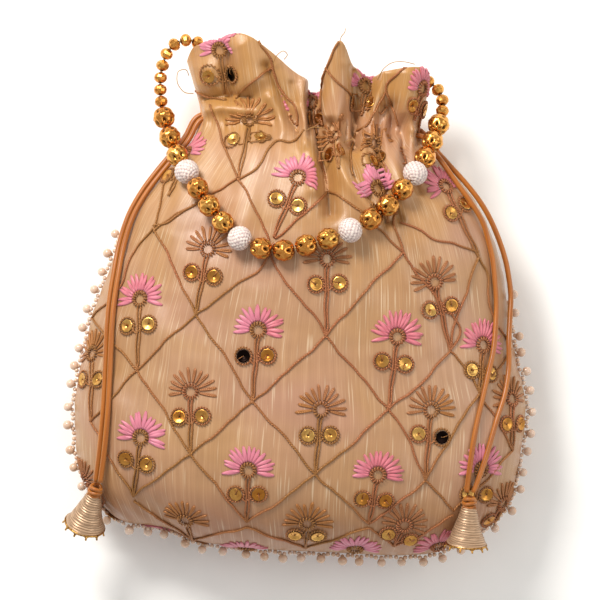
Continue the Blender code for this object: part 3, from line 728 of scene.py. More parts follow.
RIGHT_INNER_STRAND = [(48, 72.4, 32.6), (52.2, 73.4, 33), (55.8, 71.6, 33.6), (59.4, 66.2, 37.4), (64, 60, 40.2), (70, 51.4, 42), (76.4, 42.6, 41.8),
                      (81.2, 34.5, 40.6), (83.8, 26, 39.8), (85.6, 18, 40.8), (86.6, 8, 41.6), (87.2, -2, 42.2),
                      (86.8, -12, 43.9), (85.6, -23, 46.3), (83, -34, 49.2), (80.7, -44, 51.2), (78.3, -54, 52.6),
                      (76.4, -64, 53.8), (75, -74, 53.8), (73.6, -85, 52.8)]
LEFT_TASSEL = ((-90, -82, 46.5), (-0.26, -0.80, -0.50))
RIGHT_TASSEL = ((75.1, -86.6, 52.8), (-0.07, -0.97, -0.2))


def beside(route, offset):
    route = np.array(route, float)
    along = np.vstack([route[1:], route[-1:]]) - np.vstack([route[:1], route[:-1]])
    side = np.cross(along, (0, 0, 1.0))
    side = side / np.linalg.norm(side, axis=1, keepdims=True) - np.array([0, 0, 0.75])
    return route + side / np.linalg.norm(side, axis=1, keepdims=True) * offset


def strand_piece(name, route, node):
    line = spaced(smooth(route), 1.5)
    shape = Stitches()
    shape.sweep(line, CORD / 2, 14)
    piece = shape.piece(name, satin_cord)
    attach(piece, "root")
    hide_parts(node)
    return piece, line


strands = {
    "left_1": strand_piece("left_cord_1", beside(LEFT_STRAND, CORD / 2 + GAP / 2), "drawstring_left_strand_1"),
    "left_2": strand_piece("left_cord_2", beside(LEFT_STRAND, -CORD / 2 - GAP / 2), "drawstring_left_strand_2"),
    "right_1": strand_piece("right_cord_1", RIGHT_OUTER_STRAND, "drawstring_right_strand_1"),
    "right_2": strand_piece("right_cord_2", RIGHT_INNER_STRAND, "drawstring_right_strand_2"),
}


# %% Tassels
def frame_along(axis):
    """Three unit vectors with the last one along the axis."""
    axis = np.array(axis, float) / np.linalg.norm(axis)
    side = np.cross((0, 0, 1.0), axis) if abs(axis[2]) < 0.95 else np.cross((0, 1.0, 0), axis)
    side /= np.linalg.norm(side)
    return side, np.cross(axis, side), axis


def tassel_pieces(side, top, axis):
    top, (e1, e2, e3) = np.array(top, float), frame_along(axis)
    around = np.linspace(0, 2 * np.pi, 56, endpoint=False)

    def ring(radius, depth):
        return (top + e1 * (np.cos(around) * radius)[:, None] + e2 * (np.sin(around) * radius)[:, None]
                + e3 * np.broadcast_to(depth, around.shape)[:, None])

    collar = Stitches()
    for depth, radius in ((1.4, 2.3), (3.1, 2.6), (4.7, 2.2)):
        collar.sweep(ring(radius, depth + 0.35 * np.sin(around * 2 + depth)), 0.85, 8, up=e3, closed=True)
    for tail in ((0.5, 2.5), (2.6, 2.4)):
        drop = np.linspace(0, 1, 9)
        line = (top + e3 * (4 + 3.2 * drop)[:, None] + (e1 * math.cos(tail[0]) + e2 * math.sin(tail[0]))
                * (tail[1] + 1.1 * drop + 0.5 * np.sin(drop * 5))[:, None])
        collar.sweep(line, 0.28, 5)
    collar = collar.piece(f"tassel_knot_{side}", satin_cord)
    # the cone: its profile is swept round while the winding climbs by one ridge a turn
    start, turns = 2 * GAP + 4.6, 15
    profile = smooth([(3.2, 0), (4.4, 4.5), (6.1, 10), (7.9, 14.5), (9.2, 17.0)], 24)
    profile = at_share(profile, np.linspace(0, 1, 110))
    share = np.linspace(0, 1, 110)[:, None]
    ridge = np.abs(np.sin(np.pi * (share * turns + around[None] / (2 * np.pi)))) ** 0.7
    uneven = 0.16 * np.sin(around[None] * 3 + share * 9) + 0.12 * np.sin(around[None] * 7 - share * 23)
    radius = profile[:, :1] + 0.42 * ridge - 0.2 + uneven * share
    body = (top + e3 * (start + profile[:, 1:] + 0.0 * radius)[..., None]
            + e1 * (np.cos(around) * radius)[..., None] + e2 * (np.sin(around) * radius)[..., None])
    inner_radius = profile[::-4, :1] - 1.2 + 0 * around[None]
    inner = (top + e3 * (start + profile[::-4, 1:] + 0.0 * inner_radius)[..., None]
             + e1 * (np.cos(around) * inner_radius)[..., None] + e2 * (np.sin(around) * inner_radius)[..., None])
    whole = np.concatenate([ring(1.6, start - 0.1)[None], body, inner])
    rows = len(whole)
    depth = np.concatenate([[0], np.cumsum(np.linalg.norm(np.diff(whole[:, 0], axis=0), axis=1))])
    uv = np.stack(np.broadcast_arrays(around[None] / (2 * np.pi), depth[:, None]), -1)
    cone = mesh_piece(f"tassel_winding_{side}", whole.reshape(-1, 3), grid_quads(rows, 56, wrap=True)[:, ::-1],
                      wound_zari, uv.reshape(-1, 2))
    trim = Stitches()
    rim = start + TASSEL_LONG
    trim.sweep(ring(9.0, rim - 0.3), 0.45, 7, up=e3, closed=True)
    loops = np.linspace(0, 2 * np.pi, 220, endpoint=False)
    wave = np.sin(loops * 11)
    scallop = (top + e3 * (rim + 0.5 + 0.9 * wave)[:, None]
               + e1 * (np.cos(loops + 0.12 * np.cos(loops * 11)) * (9.2 + 0.5 * wave))[:, None]
               + e2 * (np.sin(loops + 0.12 * np.cos(loops * 11)) * (9.2 + 0.5 * wave))[:, None])
    trim.sweep(scallop, 0.36, 6, up=e3, closed=True)
    trim.sweep(ring(7.6, rim - 0.6), 0.5, 6, up=e3, closed=True)
    trim = trim.piece(f"tassel_trim_{side}", gold_wire)
    for piece, slot, node in ((collar, "satin_cord", f"tassel_collar_{side}"), (cone, "wound_zari", f"tassel_cone_{side}"),
                              (trim, "gold_wire", f"tassel_ring_{side}")):
        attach(piece, "root")
        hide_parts(node)
    return [collar, cone, trim]


tassels = {"left": tassel_pieces("left", *LEFT_TASSEL), "right": tassel_pieces("right", *RIGHT_TASSEL)}
for key, (piece, line) in strands.items():
    side, number = key.split("_")
    float(lengths(line)[-1] * MM)
    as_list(tassels[side] if number == "1" else ())
    print(piece.name, round(lengths(line)[-1]), "mm")

# %% [markdown]
# ## Pearl edging
# Round pearls stand out from the seam about every 9 mm, and a row of small seed beads is sewn along the seam
# between them. Each pearl hangs on the thread of its two neighbours, so no two sit quite alike.

# %% Pearls and seed beads
def pearl_colour(n):
    tone = n.noise(n.place(), 420.0, 2.0)
    blush = n.noise(n.place(), 60.0, 1.0)
    return n.mix(n.between(blush, 0.4, 0.6), n.mix(tone, srgb(196, 158, 130), srgb(226, 194, 166)),
                 n.mix(tone, srgb(206, 174, 152), srgb(234, 210, 190)))


def pearl_roughness(n):
    return n.between(n.noise(n.place(), 900.0, 2.0), 0.35, 0.7, 0.18, 0.34)


pearl = finish_of("pearl", pearl_colour, pearl_roughness, 0.0, None,
                  **{"Coat Weight": 0.5, "Coat Roughness": 0.12, "Subsurface Weight": 0.15,
                     "Subsurface Radius": (0.003, 0.002, 0.0012), "Subsurface Scale": 0.6})


def ball(rings, sides, hole=0.16, squash=1.0):
    """A unit bead with a hole along Z that is sunk into both ends."""
    low = np.arcsin(hole)
    lift = np.linspace(low, np.pi - low, rings)
    profile = [(hole * 0.9, 0.72)] + [(np.sin(a), np.cos(a) * squash) for a in lift] + [(hole * 0.9, -0.72)]
    profile = np.array(profile)
    turn = np.linspace(0, 2 * np.pi, sides, endpoint=False)
    points = np.stack(np.broadcast_arrays(profile[:, :1] * np.cos(turn), profile[:, :1] * np.sin(turn),
                                          profile[:, 1:]), -1)
    quads = grid_quads(len(profile), sides, wrap=True)[:, ::-1]
    return points, quads


def stamp(stitches, shape, quads, centre, axes, size, depth=None):
    """Adds a copy of a unit shape at a centre, turned to the three axes."""
    flat = shape.reshape(-1, 3)
    e1, e2, e3 = axes
    points = centre + size * (flat[:, :1] * e1 + flat[:, 1:2] * e2 + flat[:, 2:] * e3)
    uv = np.stack([np.arctan2(flat[:, 1], flat[:, 0]) / (2 * np.pi) * size, flat[:, 2] * size], -1)
    stitches.add(points, quads, uv, depth)


PEARL, SEED, PEARL_PITCH = 4.1, 2.0, 8.7
left_part = at_share(left_seam, np.linspace(0.66, 0, 160))
right_part = at_share(right_seam, np.linspace(0, 0.55, 140))
edge_line = np.vstack([left_part, bottom_seam[1:-1], right_part])
edge_line = spaced(edge_line, 0.5)


def edging_piece():
    edging = Stitches()
    run = np.gradient(edge_line, axis=0)
    run /= np.linalg.norm(run, axis=1, keepdims=True)
    outward = np.stack([run[:, 1], -run[:, 0]], -1)
    along = lengths(edge_line)
    total = along[-1]
    dice = np.random.default_rng(21)
    big, big_quads = ball(11, 16)
    seed, seed_quads = ball(6, 9, 0.3)
    centres = []
    count = int(total // PEARL_PITCH)
    for k in range(count + 1):
        where = min(k * total / count + dice.uniform(-0.9, 0.9) * (0 < k < count), total)
        i = min(int(np.searchsorted(along, where)), len(along) - 1)
        reach = 3.2 + dice.uniform(-0.35, 0.35)
        lean = dice.uniform(-0.8, 0.8)
        spot = edge_line[i] + outward[i] * reach + run[i] * lean
        height = SEAM_Z + dice.uniform(-0.8, 0.8)
        axes = frame_along((run[i][0] + dice.normal(0, 0.3), run[i][1] + dice.normal(0, 0.3), dice.normal(0, 0.3)))
        stamp(edging, big, big_quads, np.array([spot[0], spot[1], height]), axes, PEARL / 2 * dice.uniform(0.93, 1.03))
        centres.append(where)
    step = SEED * 1.08
    for k in range(int(total / step)):
        where = k * step + 0.6
        i = min(int(np.searchsorted(along, where)), len(along) - 1)
        near = min(abs(where - c) for c in centres)
        reach = 0.75 + 0.75 * math.exp(-(near / 1.7) ** 2) + dice.uniform(-0.15, 0.15)
        spot = edge_line[i] + outward[i] * reach
        height = SEAM_Z + 0.6 * math.sin(k * 1.3) + dice.uniform(-0.2, 0.2)
        axes = frame_along((run[i][0], run[i][1], dice.normal(0, 0.2)))
        stamp(edging, seed, seed_quads, np.array([spot[0], spot[1], height]), axes, SEED / 2 * dice.uniform(0.9, 1.05))
    print(count + 1, "pearls over", round(total), "mm of seam")
    return edging.piece("pearl_edge", pearl)


pearl_edge = edging_piece()
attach(pearl_edge, "root")
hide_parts("pearl_edging")
# %% [markdown]
# ## The beaded handle
# Sixteen pierced gold beads and four white sugar beads hang in front, and small faceted gold beads run up to the
# neck on both sides. A pierced bead is a thin shell stamped with petals, so its holes are modelled as deep pits
# with painted shade in them.

# %% Bead finishes
def bead_colour(n):
    made = n.group(spots, {"Place": n.place()})
    bright = n.mix(n.between(made["Spots"], 0.3, 0.7), srgb(196, 122, 44), srgb(244, 190, 104))
    tone = n.mix(n.between(n.noise(n.place(), 70.0, 1.0), 0.4, 0.6, 0.0, 0.5), bright, srgb(206, 128, 58))
    # Painted shade: the pits, the bead holes and the sunk ends of the faceted beads are darkened from the depth
    # attribute.
    return n.mix(n.add("Attribute", attribute_name="depth").outputs["Fac"], tone, srgb(38, 16, 6))


def bead_roughness(n):
    return n.between(n.group(spots, {"Place": n.place()})["Spots"], 0.3, 0.7, 0.16, 0.34)


gold_bead = finish_of("gold_bead", bead_colour, bead_roughness, 1.0)


def sugar_colour(n):
    tone = n.noise(n.place(), 700.0, 2.0)
    shade = n.mix(n.between(tone, 0.35, 0.65), srgb(214, 196, 190), srgb(238, 226, 216))
    # Painted shade: the gaps between the grains are darkened from the depth attribute.
    return n.mix(n.add("Attribute", attribute_name="depth").outputs["Fac"], shade, srgb(176, 150, 150))


sugar_bead = finish_of("sugar_bead", sugar_colour, lambda n: n.between(n.noise(n.place(), 900.0), 0.3, 0.7, 0.3, 0.5),
                       0.0, None, **{"Subsurface Weight": 0.3, "Subsurface Radius": (0.003, 0.0025, 0.0025),
                                     "Subsurface Scale": 0.5})
bead_thread = thread_finish("handle_thread", srgb(120, 76, 30), srgb(204, 156, 92), 0.0012, 0.5)


# %% Bead shapes
def pierced_bead(rings, sides):
    """Petals stamped round both ends, a beaded waist, and pits between the petals."""
    points, quads = ball(rings, sides, 0.13, 0.97)
    lean = np.arctan2(np.hypot(points[..., 0], points[..., 1]), points[..., 2])
    turn = np.arctan2(points[..., 1], points[..., 0])
    half = np.minimum(lean, np.pi - lean)
    side = np.where(points[..., 2] > 0, 0, np.pi / 6)
    petals = np.abs(np.cos(3 * (turn + side)))
    lift = 0.085 * petals ** 0.6 * np.sin(np.clip(half / 1.25, 0, 1) * np.pi) ** 0.7
    waist = np.exp(-((np.pi / 2 - half) / 0.13) ** 2)
    lift += 0.06 * waist * (0.6 + 0.4 * np.cos(turn * 14))
    pit = np.zeros_like(lean)
    for k in range(6):
        gap = (turn + side - (k + 0.5) * np.pi / 3 + np.pi) % (2 * np.pi) - np.pi
        pit = np.maximum(pit, np.exp(-((gap * np.sin(lean) / 0.15) ** 2 + ((half - 0.98) / 0.24) ** 2) ** 1.5))
        mid = (turn + side - k * np.pi / 3 + np.pi) % (2 * np.pi) - np.pi
        pit = np.maximum(pit, 0.8 * np.exp(-((mid * np.sin(lean) / 0.09) ** 2 + ((half - 0.62) / 0.13) ** 2) ** 1.5))
    # The third value is painted shade for the finish: darkest in the pits and in the sunk ends round the hole.
    ends = np.clip((0.30 - half) / 0.12, 0, 1)
    radius = 0.94 + lift - 0.24 * pit
    return points * radius[..., None], quads, np.clip(1.25 * pit + ends, 0, 1).ravel()


def pebbled_bead(rings, sides, pebbles=150):
    """A ball covered with small round grains."""
    points, quads = ball(rings, sides, 0.14, 0.95)
    k = np.arange(pebbles) + 0.5
    height, golden = 1 - 2 * k / pebbles, np.pi * (1 + 5 ** 0.5) * k
    grains = np.stack([np.sqrt(1 - height ** 2) * np.cos(golden), np.sqrt(1 - height ** 2) * np.sin(golden), height], -1)
    unit = points / np.linalg.norm(points, axis=-1, keepdims=True)
    gap = np.arccos(np.clip(unit @ grains.T, -1, 1)).min(-1)
    cap = np.sqrt(np.clip(1 - (gap / 0.15) ** 2, 0, 1))
    # The third value is painted shade in the gaps between the grains.
    return points * (0.94 + 0.075 * cap)[..., None], quads, np.clip(1 - 1.6 * cap, 0, 1).ravel()


# %% Threading the beads
def handle_order():
    """The CAD names of the beads from the left end to the right end."""
    halves = {}
    for side in ("left", "right"):
        counts, names = {"G": 0, "W": 0, "S": 0}, []
        for letter in "GGWGGGWGGG" + "S" * 9:
            counts[letter] += 1
            kind = {"G": "large_bead", "W": "sugar_bead", "S": "small_bead"}[letter]
            names.append(f"{kind}_{side}_{counts[letter]}")
        halves[side] = names
    return halves["left"][::-1] + halves["right"]


def bead_pieces():
    order = handle_order()
    centres = np.array([np.mean([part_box(name)[0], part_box(name)[1]], axis=0) / MM for name in order])
    pierced = pierced_bead(30, 54)
    pebbled = pebbled_bead(44, 64)
    facet, facet_quads = ball(7, 11, 0.22, 0.86)
    dice = np.random.default_rng(5)
    for k, name in enumerate(order):
        ahead, behind = centres[min(k + 1, len(order) - 1)], centres[max(k - 1, 0)]
        e1, e2, e3 = frame_along(ahead - behind)
        spin = dice.uniform(0, 2 * np.pi)
        axes = (e1 * np.cos(spin) + e2 * np.sin(spin), e2 * np.cos(spin) - e1 * np.sin(spin), e3)
        bead = Stitches()
        if name.startswith("large"):
            stamp(bead, pierced[0], pierced[1], centres[k], axes, 5.0, pierced[2])
            piece, slot = bead.piece("gold_" + name, gold_bead), "gold_bead"
        elif name.startswith("sugar"):
            stamp(bead, pebbled[0], pebbled[1], centres[k], axes, 5.5, pebbled[2])
            piece, slot = bead.piece("white_" + name, sugar_bead), "sugar_bead"
        else:
            # Painted shade in the sunk ends round the hole.
            ends = np.clip((np.abs(facet[..., 2]) - 0.74) / 0.08, 0, 1).ravel()
            stamp(bead, facet, facet_quads, centres[k], axes, 3.0, ends)
            piece, slot = bead.piece("gold_" + name, gold_bead, smooth_shade=False), "gold_bead"
        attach(piece, "root")
        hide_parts(name)
    thread = Stitches()
    ends = np.vstack([[(-33, 92, 29.5)], centres, [(35.5, 87, 30)]])
    thread.sweep(spaced(smooth(ends, 6), 1.2), 0.5, 8)
    thread = thread.piece("bead_thread", bead_thread)
    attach(thread, "root")
    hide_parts("handle_thread")
    return centres


bead_centres = bead_pieces()
# %% [markdown]
# ## Embroidery
# The cloth carries a lattice of twisted metallic thread with a flower in every cell, pink in one row and gold in
# the next. The lattice and flowers are drawn flat, in plan, and then laid on the folded cloth, so they bend into
# the folds as real stitches do.

# %% Laying flat shapes on the cloth
class Laid:
    """Finds points and normals on one folded panel."""

    def __init__(self, piece, front):
        mesh = piece.data
        self.tree = BVHTree.FromPolygons([v.co for v in mesh.vertices], [p.vertices for p in mesh.polygons])
        self.front = front
        self.start, self.way = (0.15, Vector((0, 0, -1))) if front else (-0.05, Vector((0, 0, 1)))

    def down(self, plan):
        """Points and normals, in mm, straight below plan positions (or above them, for the back)."""
        points, normals = [], []
        last = (Vector((0, 0, 0.03)), Vector((0, 0, 1 if self.front else -1)))
        for x, y in np.asarray(plan, float) * MM:
            hit = self.tree.ray_cast(Vector((x, y, self.start)), self.way)
            if hit[0] is None:
                hit = self.tree.find_nearest(Vector((x, y, 0.03)))
            points.append(hit[0])
            normals.append(hit[1])
        return np.array(points) / MM, self.outward(np.array(normals))

    def near(self, points):
        found = [self.tree.find_nearest(Vector(p * MM)) for p in points]
        return np.array([f[0] for f in found]) / MM, self.outward(np.array([f[1] for f in found]))

    def outward(self, normals):
        sign = np.sign(normals[:, 2:] + 1e-9) * (1 if self.front else -1)
        turned = normals * sign
        for _ in range(2):
            if len(turned) > 2:
                turned[1:-1] = (turned[:-2] + 2 * turned[1:-1] + turned[2:]) / 4
        return turned / np.linalg.norm(turned, axis=1, keepdims=True)


def ply(stitches, line, up, radius, pitch, sides=5, plies=2, phase=0.0):
    """Twisted thread: each ply winds round the line."""
    along = np.gradient(line, axis=0)
    along /= np.maximum(np.linalg.norm(along, axis=1, keepdims=True), 1e-9)
    side = np.cross(along, up)
    side /= np.maximum(np.linalg.norm(side, axis=1, keepdims=True), 1e-9)
    turn = (lengths(line) / pitch * 2 * np.pi + phase)[:, None]
    for k in range(plies):
        t = turn + k * 2 * np.pi / plies
        stitches.sweep(line + side * np.cos(t) * radius * 0.62 + up * np.sin(t) * radius * 0.5, radius * 0.62, sides, up)


# %% The lattice, drawn in plan
LATTICE = [
    # pairs of nodes of the diamond lattice on the body
    [(-47.8, -106.8), (-73.7, -89)], [(-47.8, -106.8), (-23.5, -100.4)], [(2.4, -110), (-23.5, -100.4)],
    [(2.4, -110), (30.5, -100.6)], [(41.6, -109), (30.5, -100.6)], [(41.6, -109), (50, -106), (67.9, -95)],
    [(-73.7, -87), (-84, -70), (-92.8, -54)], [(-73.7, -87), (-60, -76), (-48.2, -68)],
    [(-23.5, -98), (-36, -83), (-48.2, -68)], [(-23.5, -98), (-8, -88), (6.7, -76.6)],
    [(30.5, -98.7), (18, -87), (6.7, -76.6)], [(30.5, -98.7), (43, -90), (55.2, -79.6)],
    [(67.9, -93.2), (62, -86), (55.2, -79.6)], [(67.9, -93.2), (82, -80), (94.3, -66.8)],
    [(-92.8, -54), (-82, -42), (-72, -31)], [(-48.2, -68), (-60, -49), (-72, -31)],
    [(-48.2, -68), (-34, -56), (-21, -44.7)], [(6.7, -76.6), (-7, -60), (-21, -44.7)],
    [(6.7, -76.6), (23, -63), (39, -48)], [(55.2, -79.6), (48, -62), (39, -48)],
    [(55.2, -79.6), (68, -58), (79.4, -41.3)], [(94.3, -66.8), (87, -53), (79.4, -41.3)],
    [(-72, -31), (-82, -20), (-92.6, -8)], [(-72, -31), (-59, -18), (-46, -6.5)],
    [(-21, -44.7), (-33, -25), (-46, -6.5)], [(-21, -44.7), (-5, -31), (11.4, -15.8)],
    [(39, -48), (26, -33), (11.4, -15.8)], [(39, -48), (54, -36), (66.2, -22.6)],
    [(79.4, -41.3), (75, -32), (66.2, -22.6)], [(79.4, -41.3), (88, -30), (94, -22)],
    [(-92.6, -8), (-80.6, 4.4), (-73, 22), (-64.6, 32)], [(-46, -6.5), (-56, 15), (-64.6, 32)],
    [(-46, -6.5), (-32, 4), (-18, 13.5), (-11.6, 25)], [(11.4, -15.8), (4.4, -4.3), (-9, 11), (-13.5, 24)],
    [(11.4, -15.8), (27, 2), (45.4, 21.1)], [(66.2, -22.6), (70.5, -14), (67, -6), (54, 8), (45.4, 21.1)],
    [(66.2, -22.6), (69, -9), (79, 19)], [(45.4, 21.1), (33.5, 32), (26.8, 39.6), (13, 48)],
    [(44.2, 33.8), (52, 31.5), (60, 26.5), (68, 24.5), (79, 21.3)], [(45.4, 21.1), (41.6, 33), (43, 44), (46, 58)],
    [(79, 19), (82.8, 12), (83, 4), (86, -8), (93, -20)], [(-64.8, 31), (-62, 42), (-59.6, 53)],
    [(-64.8, 30), (-56, 37.5), (-47.7, 41.2), (-37, 48), (-27.4, 53.7)],
    [(-64.8, 33), (-58, 34.5), (-47, 42)], [(-13.5, 26), (-19, 39), (-27.4, 53.4)],
    [(-11, 27), (0, 36), (12, 48)],
]
FRILL_LINES = [
    [(-27.6, 53.8), (-34, 70), (-40, 86.7)], [(-27.6, 52.9), (-19.6, 58), (-10.7, 69.8), (-3.6, 69.8), (1.8, 75)],
    [(-18.5, 114.5), (-14.5, 109), (-12.4, 103.5), (-8.9, 94.7), (-2.7, 86.7), (-0.9, 77.8)],
    [(-12.4, 103), (-22.2, 96.4), (-28.4, 89.3)], [(-47.8, 93), (-39, 89.8), (-32.9, 88.9)],
    [(17.2, 114), (14.2, 108.5), (11.1, 101.8), (10.0, 95), (9.6, 84)], [(11.5, 102.7), (17.8, 95.6), (24, 89.3)],
    [(49.5, 104), (43.6, 100.9), (38.2, 95.6), (40, 89.3), (42.7, 83.1), (43.6, 77.8)],
    [(38.2, 92.9), (31.1, 79.6), (25.8, 75.1)], [(52.5, 73), (53, 80), (57, 90)],
    [(12, 48), (9.5, 60), (8.2, 74)], [(26, 76), (22, 66), (23, 55)],
]
# flowers: (ring centre, foot of the stem)
PINK_FLOWERS = [
    ((-70.7, 0.4), (-72, -31)), ((-18.4, -13.2), (-21, -44.7)), ((42.8, -16.2), (39, -48)),
    ((-70.3, -60.8), (-73.7, -87)), ((-22.7, -75), (-23.5, -98)), ((34.3, -77), (30.5, -98.7)),
    ((81, -20), (79.4, -41.3)), ((80, -75), (75, -97)), ((-0.9, 53.8), (-11.6, 27.6)), ((64.4, 50.2), (79, 19)),
    ((34.2, 49.3), (39, 34)), ((-50.5, 65), (-58, 46)), ((-35.6, 111), (-33.5, 92)), ((28.8, 95.4), (27.5, 82)),
    ((54.2, 94), (50.5, 80)), ((5.0, 88), (7, 74)), ((24.5, -110.5), (24, -113)), ((-24, -111), (-24, -113)),
    ((61.5, -109.5), (62, -113)),
]
GOLD_FLOWERS = [
    ((-48.2, -40.4), (-48.2, -68)), ((9.2, -48.1), (6.7, -76.6)), ((57.7, -48.5), (55.2, -79.6)),
    ((-50.7, -97.4), (-47.8, -106.8)), ((3.2, -98.7), (2.4, -110)), ((46.2, -99.5), (41.6, -109)),
    ((-22.2, 79.6), (-26.9, 53.9)), ((-40.5, 22.4), (-46, -6.5)), ((11.8, 18.1), (11.4, -15.8)),
    ((59.4, 8), (66.2, -22.6)), ((-92.2, -24), (-92.8, -54)), ((-95, -80), (-90, -94)), ((94, -44), (94.3, -66.8)),
    ((90.2, -90.5), (84, -103)), ((15.6, 72.5), (17.2, 58)), ((33, 69), (38.7, 56)),
]
BLACK_SEQUINS = [(-24.8, -23), (61, -58), (-29.8, 104)]


# %% Stitched lines
def wavy(points, dice, size=0.45):
    line = spaced(smooth(points), 0.6)
    run = np.gradient(line, axis=0)
    run /= np.maximum(np.linalg.norm(run, axis=1, keepdims=True), 1e-9)
    side = np.stack([-run[:, 1], run[:, 0]], -1)
    s, phase = lengths(line), dice.uniform(0, 6.28, 3)
    sway = np.sin(s / 2.1 + phase[0]) * 0.35 + np.sin(s / 4.3 + phase[1]) * 0.8 + np.sin(s / 1.1 + phase[2]) * 0.15
    fade = np.clip(np.minimum(s, s[-1] - s) / 3, 0, 1)
    return line + side * (sway * fade * size)[:, None]


def lattice_piece(name, lines, cloth, material, mirror=1, radius=0.56, fine=True):
    dice = np.random.default_rng(11)
    shape = Stitches()
    for points in lines:
        plan = wavy([(x * mirror, y) for x, y in points], dice)
        if not fine:
            plan = plan[::2]
        place, normal = cloth.down(plan)
        line = place + normal * radius * 0.75
        for _ in range(2):
            line[1:-1] = (line[:-2] + 2 * line[1:-1] + line[2:]) / 4
        if fine:
            ply(shape, line, normal, radius, 2.3, 5, phase=dice.uniform(0, 6))
        else:
            shape.sweep(line, radius, 6, normal, 0.8)
    return shape.piece(name, material)


# %% Flowers
class Flowers:
    """Collects the stitches of all flowers of one panel by finish."""

    def __init__(self, cloth, seed, fine=True):
        self.cloth, self.fine = cloth, fine
        self.dice = np.random.default_rng(seed)
        self.pink, self.gold, self.zari, self.sequins = Stitches(), Stitches(), Stitches(), Stitches()

    def plane(self, centre, foot, mirror):
        """Tangent frame on the cloth at the ring, with its second vector pointing up the stem."""
        spots = np.array([centre, foot, (centre[0] + 2, centre[1]), (centre[0], centre[1] + 2),
                          (centre[0] - 2, centre[1]), (centre[0], centre[1] - 2)], float) * np.array([mirror, 1])
        place, normal = self.cloth.down(spots)
        up = normal[[0, 2, 3, 4, 5]].mean(0)
        up /= np.linalg.norm(up)
        rise = place[0] - place[1]
        rise = rise - up * (rise @ up)
        rise /= np.linalg.norm(rise)
        return place[0], np.cross(rise, up), rise, up

    def settle(self, flat, home, lift):
        """Flat flower coordinates laid on the cloth."""
        centre, right, rise, up = home
        place, normal = self.cloth.near(centre + flat[:, :1] * right + flat[:, 1:2] * rise + up * 0.4)
        return place + normal * lift, normal

    def petal_pink(self, home, angle, inner, outer, width):
        s = np.linspace(0, 1, 9)
        r = inner + (outer - inner) * s
        bend = self.dice.uniform(-0.08, 0.08)
        flat = np.stack([np.sin(angle + bend * s) * r, np.cos(angle + bend * s) * r], -1)
        place, normal = self.settle(flat, home, 0.25)
        radius = width / 2 * np.clip(np.sin(np.pi * (0.12 + 0.8 * s)) ** 0.7, 0.15, 1)
        self.pink.sweep(place, radius, 8, normal, 0.62)

    def petal_gold(self, home, angle, inner, outer, width):
        t = np.linspace(0, 2 * np.pi, 15 if self.fine else 9)
        along = inner + (outer - inner) * (1 - np.cos(t)) / 2
        across = np.sin(t) * width / 2 * (0.35 + 0.65 * (1 - np.cos(t)) / 2)
        flat = np.stack([np.sin(angle) * along + np.cos(angle) * across,
                         np.cos(angle) * along - np.sin(angle) * across], -1)
        place, normal = self.settle(flat, home, 0.35)
        self.gold.sweep(place, 0.42, 5, normal)

    def coil(self, home, at, radius, thick, turns):
        count = turns * (7 if self.fine else 4)
        t = np.linspace(0, 2 * np.pi, count, endpoint=False)
        wind = t * turns
        r = radius + thick * np.cos(wind)
        place, normal = self.settle(np.stack([at[0] + np.cos(t) * r, at[1] + np.sin(t) * r], -1), home, 0.0)
        self.zari.sweep(place + normal * (0.75 + thick * 0.8 * np.sin(wind))[:, None], 0.30, 5, normal, closed=True)

    def sequin(self, home, at, radius=2.9):
        place, normal = self.settle(np.array([at]), home, 0.35)
        tilt = self.dice.normal(0, 0.10, 3)
        e1, e2, e3 = frame_along(normal[0] + tilt)
        profile = np.array([(0.26, -0.12), (0.34, 0.0), (1.3, 0.10), (2.0, 0.26), (2.5, 0.42), (2.55, 0.34), (2.2, 0.16)])
        sides = 18
        turn = np.linspace(0, 2 * np.pi, sides, endpoint=False)
        wave = 1 + 0.03 * np.cos(turn * 9)
        shape = np.stack(np.broadcast_arrays(profile[:, :1] * np.cos(turn) * wave, profile[:, :1] * np.sin(turn) * wave,
                                             profile[:, 1:]), -1) / 2.5
        # The black sequins are dark in their own colour; the ring round every hole is darkened as painted shade in the
        # hole.
        dark = any(np.hypot(place[0][0] - x, place[0][1] - y) < 4.0 for x, y in BLACK_SEQUINS) and self.fine
        depth = np.full(shape.reshape(-1, 3).shape[0], 1.0 if dark else 0.0)
        depth[:sides] = 1.0
        stamp(self.sequins, shape, grid_quads(len(profile), sides, wrap=True), place[0] + normal[0] * 0.2,
              (e1, e2, e3), radius, depth)
        # the stitch that holds it, from the hole to the rim
        lean = self.dice.uniform(0, 6.28)
        run = e1 * math.cos(lean) + e2 * math.sin(lean)
        stitch = place[0] + np.outer(np.linspace(0, 1, 5), run * 2.6) + np.outer([0.3, 0.9, 1.0, 1.0, 0.6], e3)
        self.zari.sweep(stitch, 0.16, 4, e3)

    def stem(self, home, centre, foot, mirror):
        start, end = np.array(centre) * (mirror, 1), np.array(foot) * (mirror, 1)
        run = end - start
        long = np.linalg.norm(run)
        run, side = run / long, np.array([-run[1], run[0]]) / long
        for sign in (-1, 1):
            s = np.linspace(3.6, long, max(6, int(long / 0.7)))
            off = sign * (0.62 + 0.22 * np.sin(s / 2.3 + sign)) * np.clip((long - s) / 4, 0.35, 1)
            place, normal = self.cloth.down(start + np.outer(s, run) + np.outer(off, side))
            line = place + normal * 0.5
            if self.fine:
                ply(self.zari, line, normal, 0.5, 2.0, 5, phase=sign)
            else:
                self.zari.sweep(line[::2], 0.5, 5, normal[::2])

